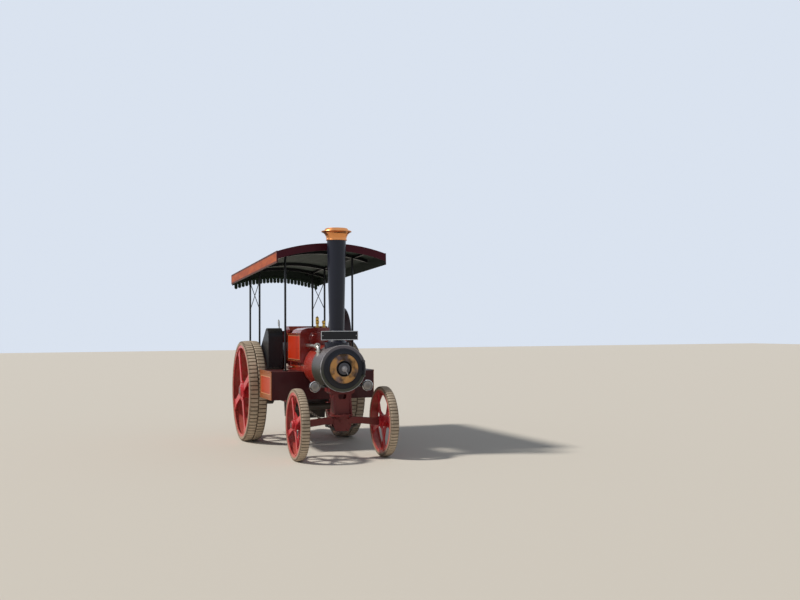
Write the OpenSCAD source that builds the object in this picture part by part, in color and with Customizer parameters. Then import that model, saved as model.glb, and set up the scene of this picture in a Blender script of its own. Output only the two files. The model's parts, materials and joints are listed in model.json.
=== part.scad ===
// Steam tractor with a full-length canopy, a water tank under the boiler and
// chain steering. Lengths are in millimetres. The engine faces -Y, +X is its
// left side and +Z is up. Lengths along the engine are counted backwards from
// the front axle, and heights from the ground that the tyres stand on.

/* [Front wheels] */
// Diameter over the front tyres
front_tyre_d = 916; // [840:2:980]
// Width of a front tyre
front_tyre_w = 113; // [90:1:130]
// Radial thickness of a front tyre
front_tyre_t = 46; // [30:1:60]
// Distance between the middles of the two front tyres
front_track = 1156; // [1120:2:1220]
// Number of spokes in a front wheel
front_spokes = 8; // [6:2:12]
// Diameter of a front hub
front_hub_d = 132; // [120:1:160]
// Length of a front hub
front_hub_l = 170; // [160:1:176]
// Distance that a front hub stands out from the tyre's middle
front_hub_out = 88; // [80:1:96]
// Thickness of the closed end of every hub
hub_cap_t = 24; // [18:1:30]

/* [Rear wheels] */
// Diameter over the rear tyres
rear_tyre_d = 1496; // [1440:2:1540]
// Width of a rear tyre, both rubber rings together
rear_tyre_w = 258; // [200:2:280]
// Radial thickness of a rear tyre
rear_tyre_t = 62; // [40:1:80]
// Width of the groove between the two rubber rings
rear_groove_w = 14; // [8:1:24]
// Distance between the middles of the two rear tyres
rear_track = 1476; // [1476:2:1560]
// Number of spokes in a rear wheel
rear_spokes = 8; // [6:2:12]
// Diameter of a rear hub
rear_hub_d = 220; // [190:2:240]
// Length of a rear hub
rear_hub_l = 282; // [276:1:284]
// Distance that a rear hub stands out from the tyre's middle
rear_hub_out = 147; // [144:1:170]
// Distance from the front axle to the rear axle
wheelbase = 2405; // [2380:5:2430]

/* [Axles] */
// Diameter of the front stub axles
stub_d = 60; // [50:1:70]
// Diameter of the rear axle
axle_d = 100; // [90:1:110]
// Height of the front axle beam
beam_h = 84; // [70:1:110]
// Depth of the front axle beam, front to back
beam_t = 76; // [60:1:90]
// Diameter of the kingpin
kingpin_d = 64; // [50:1:80]

/* [Boiler] */
// Height of the boiler's centre line
boiler_z = 1160; // [1140:1:1175]
// Diameter of the lagged barrel
barrel_d = 570; // [550:2:580]
// Distance from the front axle to the barrel's front end
barrel_front = 380; // [360:5:400]
// Distance from the front axle to the firebox front
firebox_front = 1650; // [1640:5:1670]
// Length of the firebox
firebox_l = 560; // [520:5:600]
// Width of the firebox
firebox_w = 580; // [540:2:590]
// Height of the firebox bottom above the ground
firebox_bottom = 600; // [570:5:620]
// Height of the firehole's middle above the ground
fire_hole_z = 890; // [870:5:910]
// Height of the ashpan bottom above the ground
ashpan_bottom = 370; // [350:5:420]

/* [Smokebox] */
// Outside diameter of the smokebox drum
smokebox_d = 590; // [584:2:600]
// Thickness of the smokebox plates
smokebox_t = 12; // [8:1:16]
// Distance from the smokebox front face forward of the front axle
smokebox_nose = 100; // [80:2:130]
// Outside diameter of the front ring
ring_d = 604; // [602:2:620]
// Diameter of the smokebox door
door_d = 520; // [500:2:524]
// Thickness of the door at its rim
door_t = 14; // [10:1:20]

/* [Chimney] */
// Distance from the front axle back to the chimney's centre
chimney_y = 200; // [160:5:220]
// Diameter of the chimney at its foot
chimney_foot_d = 196; // [190:2:220]
// Diameter of the chimney under its cap
chimney_top_d = 250; // [240:2:270]
// Height of the cap's lower edge
cap_bottom = 2830; // [2800:5:2860]
// Height of the chimney cap
cap_h = 160; // [140:5:180]
// Diameter over the lip of the cap
cap_lip_d = 400; // [360:5:420]
// Diameter of the flue inside the chimney
flue_d = 172; // [150:2:176]

/* [Front plate and lamps] */
// Width of the blank front plate
front_plate_w = 500; // [420:5:520]
// Height of the front plate
front_plate_h = 120; // [90:5:130]
// Distance of each head lamp from the middle
lamp_x = 352; // [345:1:370]
// Height of the head lamps above the ground
lamp_z = 932; // [925:1:950]
// Distance of the lamp glasses forward of the front axle
lamp_nose = 30; // [10:1:60]
// Diameter over the rim of a head lamp
lamp_d = 144; // [120:2:160]

/* [Water tank] */
// Width of the tank under the boiler
tank_w = 1460; // [1380:5:1480]
// Distance from the front axle to the tank's front plate
tank_front = 864; // [850:2:900]
// Gap between the tank's rear end and the rear tyres
tank_gap = 37; // [30:1:60]
// Height of the tank bottom above the ground
tank_bottom = 705; // [690:5:730]
// Height of the tank top above the ground
tank_top = 1089; // [1060:1:1100]

/* [Cylinder and motion] */
// Distance from the front axle to the cylinder block's front
cylinder_front = 850; // [840:5:860]
// Length of the cylinder block
cylinder_l = 500; // [450:5:520]
// Width of the cylinder block over its cladding
cylinder_w = 660; // [620:5:680]
// Height of the cylinder block's top
cylinder_top = 1690; // [1650:5:1720]
// Diameter of the exhaust pipe
exhaust_d = 48; // [40:1:60]
// Distance of the exhaust pipe to the right of the middle
exhaust_x = 230; // [200:5:235]
// Distance from the front axle to the crankshaft
crank_y = 1800; // [1790:5:1820]
// Height of the crankshaft
crank_z = 1560; // [1550:5:1580]
// Diameter of the crankshaft
crank_d = 80; // [70:1:90]
// Diameter of the flywheel
flywheel_d = 860; // [820:5:880]
// Width of the flywheel rim
flywheel_w = 120; // [90:5:130]
// Number of spokes in the flywheel
flywheel_spokes = 6; // [5:1:8]
// Distance of each cylinder from the middle
cylinder_gap = 110; // [100:1:120]
// Diameter of the piston guides
guide_d = 130; // [110:2:150]
// Radius of the gear case round the crankshaft
case_crank_r = 125; // [115:1:135]
// Radius of the gear case round the second shaft
case_second_r = 190; // [170:5:200]
// Radius of the gear case round the rear axle
case_axle_r = 210; // [190:5:230]

/* [Tender] */
// Width of the tender
tender_w = 1140; // [1080:5:1150]
// Distance from the front axle to the tender's front
tender_front = 2640; // [2630:5:2660]
// Length of the tender
tender_l = 860; // [800:5:900]
// Height of the tender floor above the ground
tender_floor = 640; // [600:5:680]
// Height of the tender's top edge above the ground
tender_top = 1320; // [1280:5:1360]
// Thickness of the tender plates
plate_t = 8; // [6:1:10]
// Length of the coal space and the tank below it
bunker_l = 400; // [360:5:440]

/* [Canopy] */
// Width of the canopy
canopy_w = 1484; // [1440:4:1520]
// Distance from the front axle to the canopy's front edge
canopy_front = 407; // [390:1:440]
// Length of the canopy
canopy_l = 3450; // [3300:5:3500]
// Height of the canopy's front corners
canopy_corner = 2690; // [2650:5:2720]
// Rise of the arch from the corners to the crown
canopy_rise = 120; // [100:2:150]
// Slope of the canopy down to the rear, in degrees
canopy_slope = 2.1; // [1:0.1:2.5]
// Thickness of the canopy boards
canopy_t = 18; // [14:1:24]
// Depth of the side valances
valance_h = 156; // [120:2:180]
// Depth of the front valance
end_valance_h = 96; // [80:2:120]
// Depth of the rear valance
rear_valance_h = 160; // [120:5:180]
// Length of the fringe below the rear valance
fringe_h = 80; // [60:2:90]
// Number of tongues in the fringe
fringe_tongues = 24; // [16:1:30]
// Thickness of the valances
valance_t = 14; // [10:1:20]
// Diameter of the canopy posts
post_d = 30; // [24:1:36]
// Diameter of the foot under each canopy post
post_foot_d = 70; // [60:2:74]
// Distance of the front posts from the middle
front_post_x = 485; // [470:1:490]
// Distance from the front axle to the front posts
front_post_y = 1080; // [1040:5:1120]
// Height of the lower ends of the crossed stays
stay_low = 1980; // [1900:10:2100]
// Height of the upper ends of the crossed stays
stay_high = 2420; // [2300:10:2480]
// Diameter of the crossed stays
stay_d = 12; // [8:1:16]

/* [Steering] */
// Distance of each steering chain from the middle
chain_x = 230; // [215:1:235]
// Diameter of the chain barrel
chain_barrel_d = 90; // [80:1:100]
// Distance from the front axle to the chain barrel
chain_barrel_y = 1480; // [1470:5:1500]
// Diameter of the rod that a chain link is bent from
link_rod_d = 9; // [7:0.5:10]
// Length of a chain link
link_l = 72; // [66:1:78]
// Diameter of the steering handwheel
handwheel_d = 400; // [360:5:420]
// Height of the steering handwheel's middle above the ground
handwheel_z = 1500; // [1450:5:1540]
// Radius of the worm wheel on the chain barrel's shaft
worm_wheel_r = 70; // [60:1:80]
// Number of teeth on the worm wheel
worm_teeth = 24; // [16:1:32]

/* [Hidden] */
$fn = 96;

// Clearance of a shaft in its hole, at the radius
run = 0.05;
// Clearance between pieces that are bolted or shrunk together
seat = 0.3;
// Clearance between pieces that pass each other
pass = 6;

front_axle_z = front_tyre_d / 2;
rear_axle_z = rear_tyre_d / 2;
valance_lip = 4;
canopy_rear = canopy_front + (canopy_l + seat + valance_t) * cos(canopy_slope)
    + (canopy_rise + valance_lip) * sin(canopy_slope);
engine_l = canopy_rear + front_axle_z;
front_axle_y = front_axle_z - engine_l / 2;
smokebox_r = smokebox_d / 2;
barrel_r = barrel_d / 2;
tender_rear = tender_front + tender_l;
tank_rear = wheelbase - rear_axle_z - tank_gap;
firebox_rear = firebox_front + firebox_l;
cylinder_rear = cylinder_front + cylinder_l;

// Puts a piece that is drawn from the front axle into the engine's frame
module engine_frame() {
    translate([0, front_axle_y, 0]) children();
}

// Turns a piece drawn about Z so that its axis lies along +X
module along_x() {
    rotate([90, 0, 90]) children();
}

// Extrudes an outline given as [distance back, height] between two x values
module side_plate(x0, x1) {
    translate([x0, 0, 0]) along_x() linear_extrude(x1 - x0) children();
}

// Extrudes an outline given as [x, height] between two distances back
module cross_plate(y0, y1) {
    translate([0, y1, 0]) rotate([90, 0, 0]) linear_extrude(y1 - y0) children();
}

module box(x0, x1, y0, y1, z0, z1) {
    translate([x0, y0, z0]) cube([x1 - x0, y1 - y0, z1 - z0]);
}

// Straight round bar between two points
module bar(a, b, d) {
    v = b - a;
    l = norm(v);
    translate(a) rotate([0, acos(v[2] / l), atan2(v[1], v[0])]) cylinder(d=d, h=l, $fn=24);
}

function arc(cx, cy, r, from, to, steps) =
    [for (i = [0:steps]) let (a = from + (to - from) * i / steps)
        [cx + r * cos(a), cy + r * sin(a)]];

// WHEELS

// Spoked wheel drawn about Z, with its outer side at +Z.
// Spokes stand in two rows and each widens to a foot at the rim.
module spoked_wheel(rim_r, rim_w, rim_t, hub_d, hub_l, hub_out, bore_d, spokes,
                    waist, foot, plate) {
    web_r = rim_r - rim_t;
    row = rim_w / 2 - plate - 14;
    lap = 4;
    difference() {
        union() {
            rotate_extrude($fn=128) polygon([
                [rim_r, -rim_w / 2], [rim_r, rim_w / 2], [web_r - 26, rim_w / 2],
                [web_r - 26, rim_w / 2 - 12], [web_r, rim_w / 2 - 12],
                [web_r, 12 - rim_w / 2], [web_r - 26, 12 - rim_w / 2],
                [web_r - 26, -rim_w / 2]
            ]);
            rotate_extrude($fn=96) polygon([
                [0, hub_out - hub_l], [hub_d * 0.38, hub_out - hub_l],
                [hub_d / 2, hub_out - hub_l + 12], [hub_d / 2, -row - plate - lap],
                [hub_d * 0.68, -row - plate - lap], [hub_d * 0.68, lap - row],
                [hub_d / 2, lap - row], [hub_d / 2, row - lap], [hub_d * 0.68, row - lap],
                [hub_d * 0.68, row + plate + lap], [hub_d / 2, row + plate + lap],
                [hub_d * 0.42, row + plate + lap + 6], [hub_d * 0.42, hub_out - 20],
                [hub_d * 0.3, hub_out - 4], [0, hub_out]
            ]);
            for (i = [0:spokes - 1])
                rotate([0, 0, (i + 0.5) * 360 / spokes])
                    translate([0, 0, i % 2 == 0 ? row : -row - plate])
                        linear_extrude(plate) polygon([
                            [hub_d * 0.4, -waist * 0.62], [hub_d * 0.4, waist * 0.62],
                            [rim_r * 0.45, waist / 2], [rim_r * 0.78, waist * 0.46],
                            [web_r - 40, foot / 2 - 8], [web_r + 4, foot / 2],
                            [web_r + 4, -foot / 2], [web_r - 40, 8 - foot / 2],
                            [rim_r * 0.78, -waist * 0.46], [rim_r * 0.45, -waist / 2]
                        ]);
        }
        translate([0, 0, hub_out - hub_l - 1])
            cylinder(d=bore_d + 2 * run, h=hub_l - hub_cap_t + 1, $fn=64);
    }
}

module front_wheel(side) {
    color("firebrick") translate([side * front_track / 2, 0, front_axle_z])
        rotate([0, side * 90, 0])
            spoked_wheel(front_tyre_d / 2 - front_tyre_t - seat, front_tyre_w - 8, 12,
                front_hub_d, front_hub_l, front_hub_out, stub_d, front_spokes, 58, 104, 12);
}

module rear_wheel(side) {
    color("firebrick") translate([side * rear_track / 2, wheelbase, rear_axle_z])
        rotate([0, side * 90, 0])
            spoked_wheel(rear_tyre_d / 2 - rear_tyre_t - seat, rear_tyre_w - 10, 16,
                rear_hub_d, rear_hub_l, rear_hub_out, axle_d, rear_spokes, 92, 190, 16);
}

module front_tyre(side) {
    r = front_tyre_d / 2;
    t = front_tyre_t;
    w = front_tyre_w / 2;
    color("tan") translate([side * front_track / 2, 0, front_axle_z])
        rotate([0, side * 90, 0]) rotate_extrude($fn=48) polygon([
            [r - t, -w], [r - 14, -w], [r, 18 - w], [r, w - 18], [r - 14, w], [r - t, w]
        ]);
}

module rear_tyre(side) {
    r = rear_tyre_d / 2;
    t = rear_tyre_t;
    w = rear_tyre_w / 2;
    g = rear_groove_w / 2;
    color("tan") translate([side * rear_track / 2, wheelbase, rear_axle_z])
        rotate([0, side * 90, 0]) rotate_extrude($fn=56) polygon([
            [r - t, -w], [r - 16, -w], [r, 22 - w], [r, -g - 10], [r - t * 0.55, -g],
            [r - t * 0.55, g], [r, g + 10], [r, w - 22], [r - 16, w], [r - t, w]
        ]);
}

module front_wheel_left() { front_wheel(1); }
module front_wheel_right() { front_wheel(-1); }
module front_tyre_left() { front_tyre(1); }
module front_tyre_right() { front_tyre(-1); }
module rear_wheel_left() { rear_wheel(1); }
module rear_wheel_right() { rear_wheel(-1); }
module rear_tyre_left() { rear_tyre(1); }
module rear_tyre_right() { rear_tyre(-1); }

// FRONT AXLE

hub_inner_x = front_track / 2 + front_hub_out - front_hub_l;
beam_z = front_axle_z + 34;
cheek_t = 12;
cheek_z = beam_z - beam_h / 2 - 92;
lug_r = 9;
lug_l = 30;
perch_foot_z = beam_z + beam_h / 2 + 16;

module axle_beam() {
    end_x = hub_inner_x - 4;
    color("darkred") {
        cross_plate(-beam_t / 2, beam_t / 2) polygon([
            [-end_x, front_axle_z - 42], [-215, beam_z - beam_h / 2],
            [215, beam_z - beam_h / 2], [end_x, front_axle_z - 42],
            [end_x, front_axle_z + 46], [190, beam_z + beam_h / 2],
            [-190, beam_z + beam_h / 2], [-end_x, front_axle_z + 46]
        ]);
        // Cheek plates in front and behind, which hold the spring between them
        for (s = [-1, 1])
            cross_plate(s > 0 ? beam_t / 2 : -beam_t / 2 - cheek_t,
                    s > 0 ? beam_t / 2 + cheek_t : -beam_t / 2)
                polygon([[-118, beam_z + beam_h / 2], [-118, cheek_z + 68], [-84, cheek_z],
                    [84, cheek_z], [118, cheek_z + 68], [118, beam_z + beam_h / 2]]);
        // Pivot pin through both cheeks
        translate([0, 0, beam_z]) rotate([90, 0, 0])
            cylinder(d=beam_h - 26, h=beam_t + 2 * cheek_t + 44, center=true, $fn=48);
        translate([0, 0, beam_z]) rotate([90, 0, 0])
            cylinder(d=beam_h - 4, h=beam_t + 2 * cheek_t + 16, center=true, $fn=48);
        // Turntable and kingpin
        translate([0, 0, beam_z]) cylinder(d=kingpin_d, h=240, $fn=64);
        translate([0, 0, beam_z + 20]) cylinder(d=210, h=perch_foot_z - 1 - beam_z - 20);
        for (s = [-1, 1]) {
            // Stub axle and its collar
            translate([s * (end_x - 8), 0, front_axle_z]) rotate([0, s * 90, 0])
                cylinder(d=stub_d, h=front_hub_l - hub_cap_t + 6, $fn=64);
            translate([s * (end_x - 8), 0, front_axle_z]) rotate([0, s * 90, 0])
                cylinder(d=stub_d + 34, h=10, $fn=48);
            // Lug with a round end that holds a steering chain
            box(s * chain_x - lug_r, s * chain_x + lug_r, beam_t / 2 - 2,
                beam_t / 2 + lug_l - lug_r, beam_z - 14, beam_z + 14);
            translate([s * chain_x, beam_t / 2 + lug_l - lug_r, beam_z - 14])
                cylinder(r=lug_r, h=28, $fn=32);
        }
    }
}

module front_spring() {
    // Transverse spring slung below the beam: five leaves, each shorter than the last
    top_z = beam_z - beam_h / 2;
    half = [200, 170, 138, 104, 70];
    color("dimgray") {
        for (i = [0:4])
            cross_plate(4 - beam_t / 2, beam_t / 2 - 4) polygon(concat(
                [for (k = [-6:6]) [k * half[i] / 6, leaf_z(k * half[i] / 6) - i * 11]],
                [for (k = [6:-1:-6]) [k * half[i] / 6, leaf_z(k * half[i] / 6) - (i + 1) * 11 - 0.5]]
            ));
        box(-36, 36, -beam_t / 2 + seat, beam_t / 2 - seat, top_z - 112, top_z - seat);
        for (s = [-1, 1])
            box(s * 192 - 14, s * 192 + 14, -beam_t / 2, beam_t / 2, top_z - 34, top_z - seat);
    }
}
function leaf_z(x) = beam_z - beam_h / 2 - 52 + 40 * pow(x / 200, 2);

// BOILER AND SMOKEBOX

// Bands round the barrel: how far they stand out, and their length
band_out = 5;
band_l = 50;

module boiler_barrel() {
    color("firebrick") {
        translate([0, firebox_front, boiler_z]) rotate([90, 0, 0])
            cylinder(r=barrel_r, h=firebox_front - barrel_front, $fn=128);
        for (y = [barrel_front + 30, cylinder_front - 60, firebox_front - 60])
            translate([0, y + band_l / 2, boiler_z]) rotate([90, 0, 0])
                cylinder(r=barrel_r + band_out, h=band_l, $fn=128);
    }
}

door_z = boiler_z;
door_hinge_x = door_d / 2 + 10;
door_hinge_out = 19;
ring_l = 34;
saddle_front = ring_l + 14 - smokebox_nose;
saddle_w = 168;
door_pin_d = 18;
hole_r = door_d / 2 - 26;

module smokebox() {
    nose = -smokebox_nose;
    color("#3c3f3a") difference() {
        union() {
            translate([0, barrel_front, boiler_z]) rotate([90, 0, 0])
                cylinder(r=smokebox_r, h=barrel_front - nose, $fn=128);
            // Stepped front ring
            translate([0, nose + ring_l, boiler_z]) rotate([90, 0, 0])
                cylinder(d=ring_d, h=ring_l, $fn=128);
            translate([0, nose + ring_l + 12, boiler_z]) rotate([90, 0, 0])
                cylinder(d=(ring_d + smokebox_d) / 2, h=24, $fn=128);
            // Two lugs of the door hinge
            for (dz = [-92, 92])
                box(door_hinge_x - 12, door_hinge_x + 14, nose - door_hinge_out - 12, nose + 10,
                    door_z + dz - 12, door_z + dz + 12);
            translate([door_hinge_x, nose - door_hinge_out, door_z - 108])
                cylinder(d=door_pin_d, h=216, $fn=48);
        }
        translate([0, barrel_front - smokebox_t, boiler_z]) rotate([90, 0, 0])
            cylinder(r=smokebox_r - smokebox_t, h=barrel_front - nose - 2 * smokebox_t, $fn=128);
        translate([0, nose + 100, boiler_z]) rotate([90, 0, 0])
            cylinder(r=hole_r, h=220, $fn=96);
        translate([0, chimney_y, boiler_z + 100]) cylinder(d=flue_d, h=400, $fn=64);
    }
}

module smokebox_door() {
    back = -smokebox_nose - 1;
    r = door_d / 2;
    color("#20232c") difference() {
        union() {
            // Dished door, ring and boss turned about one axis
            translate([0, back, door_z]) rotate([90, 0, 0]) rotate_extrude($fn=128) polygon([
                [0, 0], [r, 0], [r, door_t - 4], [r - 6, door_t], [r - 40, door_t + 3],
                [198, door_t + 13], [197, door_t + 24], [191, door_t + 24], [190, door_t + 18],
                [101, door_t + 23], [100, door_t + 29], [94, door_t + 29], [93, door_t + 14],
                [78, door_t + 14], [77, door_t + 26], [64, door_t + 33], [38, door_t + 34],
                [37, door_t + 40], [30, door_t + 46], [22, door_t + 47], [21, door_t + 62],
                [14, door_t + 66], [0, door_t + 66]
            ]);
            // Small handle on the boss, pointing down to the left side
            translate([0, back - door_t - 39, door_z]) rotate([0, 148, 0]) rotate_extrude($fn=40)
                polygon([[0, 0], [8, 0], [7, 78], [11, 82], [13, 89], [11, 96], [6, 99], [0, 100]]);
            // Two hinge straps and the knuckle between the lugs
            for (dz = [-56, 56])
                box(r - 64, door_hinge_x, back - door_t - 8, back - door_t + 6,
                    door_z + dz - 15, door_z + dz + 15);
            translate([door_hinge_x, -smokebox_nose - door_hinge_out, door_z - 79])
                cylinder(d=30, h=158, $fn=48);
        }
        translate([door_hinge_x, -smokebox_nose - door_hinge_out, door_z - 110])
            cylinder(d=door_pin_d + 2 * run, h=220, $fn=48);
    }
}

// CHIMNEY

chimney_foot_z = boiler_z + smokebox_r;
foot_r = chimney_foot_d / 2;
flare_r = foot_r + 62;
// Bolted band round the foot, and its height above the smokebox
band_t = 12;
band_h = 34;
band_up = 156;

module chimney_barrel() {
    color("#1c2030") difference() {
        union() {
            // Flared foot that sits on the smokebox
            translate([0, chimney_y, 0]) rotate_extrude($fn=96) polygon(concat(
                [[0, boiler_z + 180], [flare_r, boiler_z + 180]],
                arc(flare_r, chimney_foot_z + 90, flare_r - foot_r - 4, 270, 180, 6),
                [[foot_r + 4, chimney_foot_z + band_up - 6], [foot_r + band_t, chimney_foot_z + band_up],
                    [foot_r + band_t, chimney_foot_z + band_up + band_h],
                    [foot_r, chimney_foot_z + band_up + band_h + 6],
                    [chimney_top_d / 2, cap_bottom], [chimney_top_d / 2, cap_bottom + 60],
                    [0, cap_bottom + 60]]
            ));
        }
        translate([0, barrel_front, boiler_z]) rotate([90, 0, 0])
            cylinder(r=smokebox_r + seat, h=barrel_front + smokebox_nose, $fn=128);
        translate([0, chimney_y, boiler_z]) cylinder(d=flue_d, h=2000, $fn=64);
    }
}

module chimney_cap() {
    r = chimney_top_d / 2;
    lip = cap_lip_d / 2;
    color("#b87333") translate([0, chimney_y, 0]) rotate_extrude($fn=96) polygon([
        [r + seat, cap_bottom + 2], [r + 8, cap_bottom], [r + 11, cap_bottom + 8],
        [r + 8, cap_bottom + 17], [r + 10, cap_bottom + 36], [r + 17, cap_bottom + 60],
        [r + 30, cap_bottom + 84], [r + 50, cap_bottom + 102], [lip - 3, cap_bottom + 112],
        [lip, cap_bottom + 118], [lip - 4, cap_bottom + 125], [r + 33, cap_bottom + 129],
        [r + 29, cap_bottom + cap_h - 12], [r + 20, cap_bottom + cap_h - 1], [r + 12, cap_bottom + cap_h],
        [r + 4, cap_bottom + cap_h - 5], [r - 17, cap_bottom + 100], [r - 17, cap_bottom + 62],
        [r + seat, cap_bottom + 60 + seat]
    ]);
}

// FRONT PLATE AND LAMPS

plate_front = chimney_y - foot_r - 40;

module front_plate() {
    top = chimney_foot_z + band_up + band_h - 2;
    w = front_plate_w / 2;
    color("black") {
        box(-w, w, plate_front, plate_front + 8, top - front_plate_h, top);
        // Two arms that are bolted to the band round the chimney's foot
        difference() {
            for (s = [-1, 1])
                box(s * 70 - 12, s * 70 + 12, plate_front + 8, chimney_y - 60, top - 30, top);
            translate([0, chimney_y, top - 50]) cylinder(r=foot_r + band_t + seat, h=100, $fn=96);
        }
    }
}

lamp_l = 90;
lamp_y = lamp_l - lamp_nose;

module head_lamps() {
    r = lamp_d / 2;
    for (s = [-1, 1]) translate([s * lamp_x, lamp_y, lamp_z]) {
        // Bowl, rim and domed glass
        color("silver") rotate([90, 0, 0]) rotate_extrude($fn=72) polygon([
            [0, -58], [30, -56], [50, -42], [r - 10, -8], [r - 6, 30], [r - 5, 58], [r, 64],
            [r, lamp_l - 6], [r - 5, lamp_l - 2], [r - 11, lamp_l - 12], [44, lamp_l - 5],
            [24, lamp_l - 1], [0, lamp_l]
        ]);
    }
    // Bracket from each lamp to the smokebox drum
    color("black") for (s = [-1, 1]) difference() {
        box(s > 0 ? saddle_w + 2 : 34 - lamp_x, s > 0 ? lamp_x - 34 : -saddle_w - 2,
            lamp_y - 20, lamp_y + 20, lamp_z - 16, lamp_z + 16);
        translate([0, barrel_front, boiler_z]) rotate([90, 0, 0])
            cylinder(r=smokebox_r + seat, h=barrel_front + smokebox_nose, $fn=128);
    }
}

module perch_bracket() {
    saddle_z = boiler_z - smokebox_r - 34;
    web_x = 112;
    color("darkred") difference() {
        union() {
            // Saddle that the drum lies in, behind its front ring
            cross_plate(saddle_front, 190) polygon([
                [-saddle_w, boiler_z - 200], [-saddle_w, saddle_z + 30], [-130, saddle_z],
                [130, saddle_z], [saddle_w, saddle_z + 30], [saddle_w, boiler_z - 200]
            ]);
            // Two side webs, with a front and a back plate between them
            for (s = [-1, 1])
                side_plate(s * web_x - 9, s * web_x + 9) polygon([
                    [saddle_front, saddle_z + 4], [saddle_front, saddle_z - 70],
                    [-84, perch_foot_z + 50], [-84, perch_foot_z], [84, perch_foot_z],
                    [84, perch_foot_z + 50], [70, saddle_z - 60], [176, saddle_z + 4]
                ]);
            for (y = [saddle_front + 2, 52])
                cross_plate(y, y + 12) polygon([
                    [-web_x, saddle_z + 4], [-web_x, perch_foot_z], [web_x, perch_foot_z],
                    [web_x, saddle_z + 4], [54, saddle_z + 4], [54, saddle_z - 40],
                    [34, saddle_z - 66], [-34, saddle_z - 66], [-54, saddle_z - 40],
                    [-54, saddle_z + 4]
                ]);
            // Foot on the turntable, and the housing of the kingpin
            translate([0, 0, perch_foot_z]) cylinder(d=300, h=20, $fn=96);
            translate([0, 0, perch_foot_z]) cylinder(d=kingpin_d + 30, h=222, $fn=64);
        }
        translate([0, barrel_front, boiler_z]) rotate([90, 0, 0])
            cylinder(r=smokebox_r + seat, h=barrel_front + smokebox_nose, $fn=128);
        translate([0, 0, perch_foot_z - 1]) cylinder(d=kingpin_d + 2 * run, h=205, $fn=64);
    }
}

// FIREBOX, ASHPAN AND HORNPLATES

module firebox() {
    r = firebox_w / 2;
    color("firebrick") difference() {
        cross_plate(firebox_front + seat, firebox_rear) polygon(concat(
            [[-r, firebox_bottom], [r, firebox_bottom]], arc(0, boiler_z, r, 0, 180, 36)
        ));
        // Firehole
        translate([0, firebox_rear + 1, fire_hole_z]) rotate([90, 0, 0]) cylinder(r=110, h=120, $fn=64);
    }
    // Hinge pin of the fire door with its two lugs
    color("dimgray") {
        for (dz = [-92, 92])
            box(150, 186, firebox_rear - 2, firebox_rear + 26, fire_hole_z + dz - 10, fire_hole_z + dz + 10);
        translate([168, firebox_rear + 14, fire_hole_z - 100]) cylinder(d=14, h=200, $fn=32);
    }
}

module fire_door() {
    color("dimgray") difference() {
        union() {
            box(-140, 168, firebox_rear + 2, firebox_rear + 12, fire_hole_z - 75, fire_hole_z + 75);
            translate([168, firebox_rear + 14, fire_hole_z - 78]) cylinder(d=24, h=156, $fn=32);
            translate([-118, firebox_rear + 10, fire_hole_z]) rotate([-90, 0, 0])
                cylinder(d=22, h=50, $fn=32);
        }
        translate([168, firebox_rear + 14, fire_hole_z - 90]) cylinder(d=14 + 2 * run, h=180, $fn=32);
    }
}

module ashpan() {
    color("#26241f") side_plate(-firebox_w / 2 + 40, firebox_w / 2 - 40) polygon([
        [firebox_front + 20, firebox_bottom - seat], [firebox_front + 60, ashpan_bottom],
        [firebox_rear - 60, ashpan_bottom], [firebox_rear - 10, firebox_bottom - seat]
    ]);
}

horn_t = 16;
horn_in = firebox_w / 2;
horn_out = horn_in + horn_t;
boss_l = 93;

module hornplates() {
    color("#7a1b1b") for (s = [-1, 1]) difference() {
        union() {
            side_plate(s > 0 ? horn_in : -horn_out, s > 0 ? horn_out : -horn_in) polygon([
                [firebox_front, firebox_bottom], [firebox_front, boiler_z + 60],
                [crank_y - 130, crank_z - 90], [crank_y - 130, crank_z + 70],
                [crank_y - 100, crank_z + 100], [crank_y + 110, crank_z + 100],
                [crank_y + 150, crank_z + 60], [crank_y + 260, crank_z - 90],
                [tender_front - 120, crank_z - 200], [tender_front, tender_top],
                [tender_front, tender_floor - 20], [firebox_rear + 40, firebox_bottom]
            ]);
            translate([s * (horn_in + 1), crank_y, crank_z]) rotate([0, s * 90, 0])
                cylinder(d=170, h=boss_l, $fn=72);
            translate([s * (horn_in + 1), wheelbase, rear_axle_z]) rotate([0, s * 90, 0])
                cylinder(d=200, h=boss_l, $fn=72);
        }
        translate([s * (horn_in - 20), crank_y, crank_z]) rotate([0, s * 90, 0])
            cylinder(d=crank_d + 2 * run, h=160, $fn=64);
        translate([s * (horn_in - 20), wheelbase, rear_axle_z]) rotate([0, s * 90, 0])
            cylinder(d=axle_d + 2 * run, h=160, $fn=64);
    }
}

module rear_axle() {
    l = rear_track + 2 * (rear_hub_out - hub_cap_t - 4);
    color("gray") translate([-l / 2, wheelbase, rear_axle_z]) rotate([0, 90, 0])
        cylinder(d=axle_d, h=l, $fn=64);
}

// CYLINDER AND MOTION

cladding_bottom = boiler_z + 50;
cladding_side_top = cylinder_top - 75;
cover_front = crank_y - 150;
motion_z = crank_z - 20;

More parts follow.
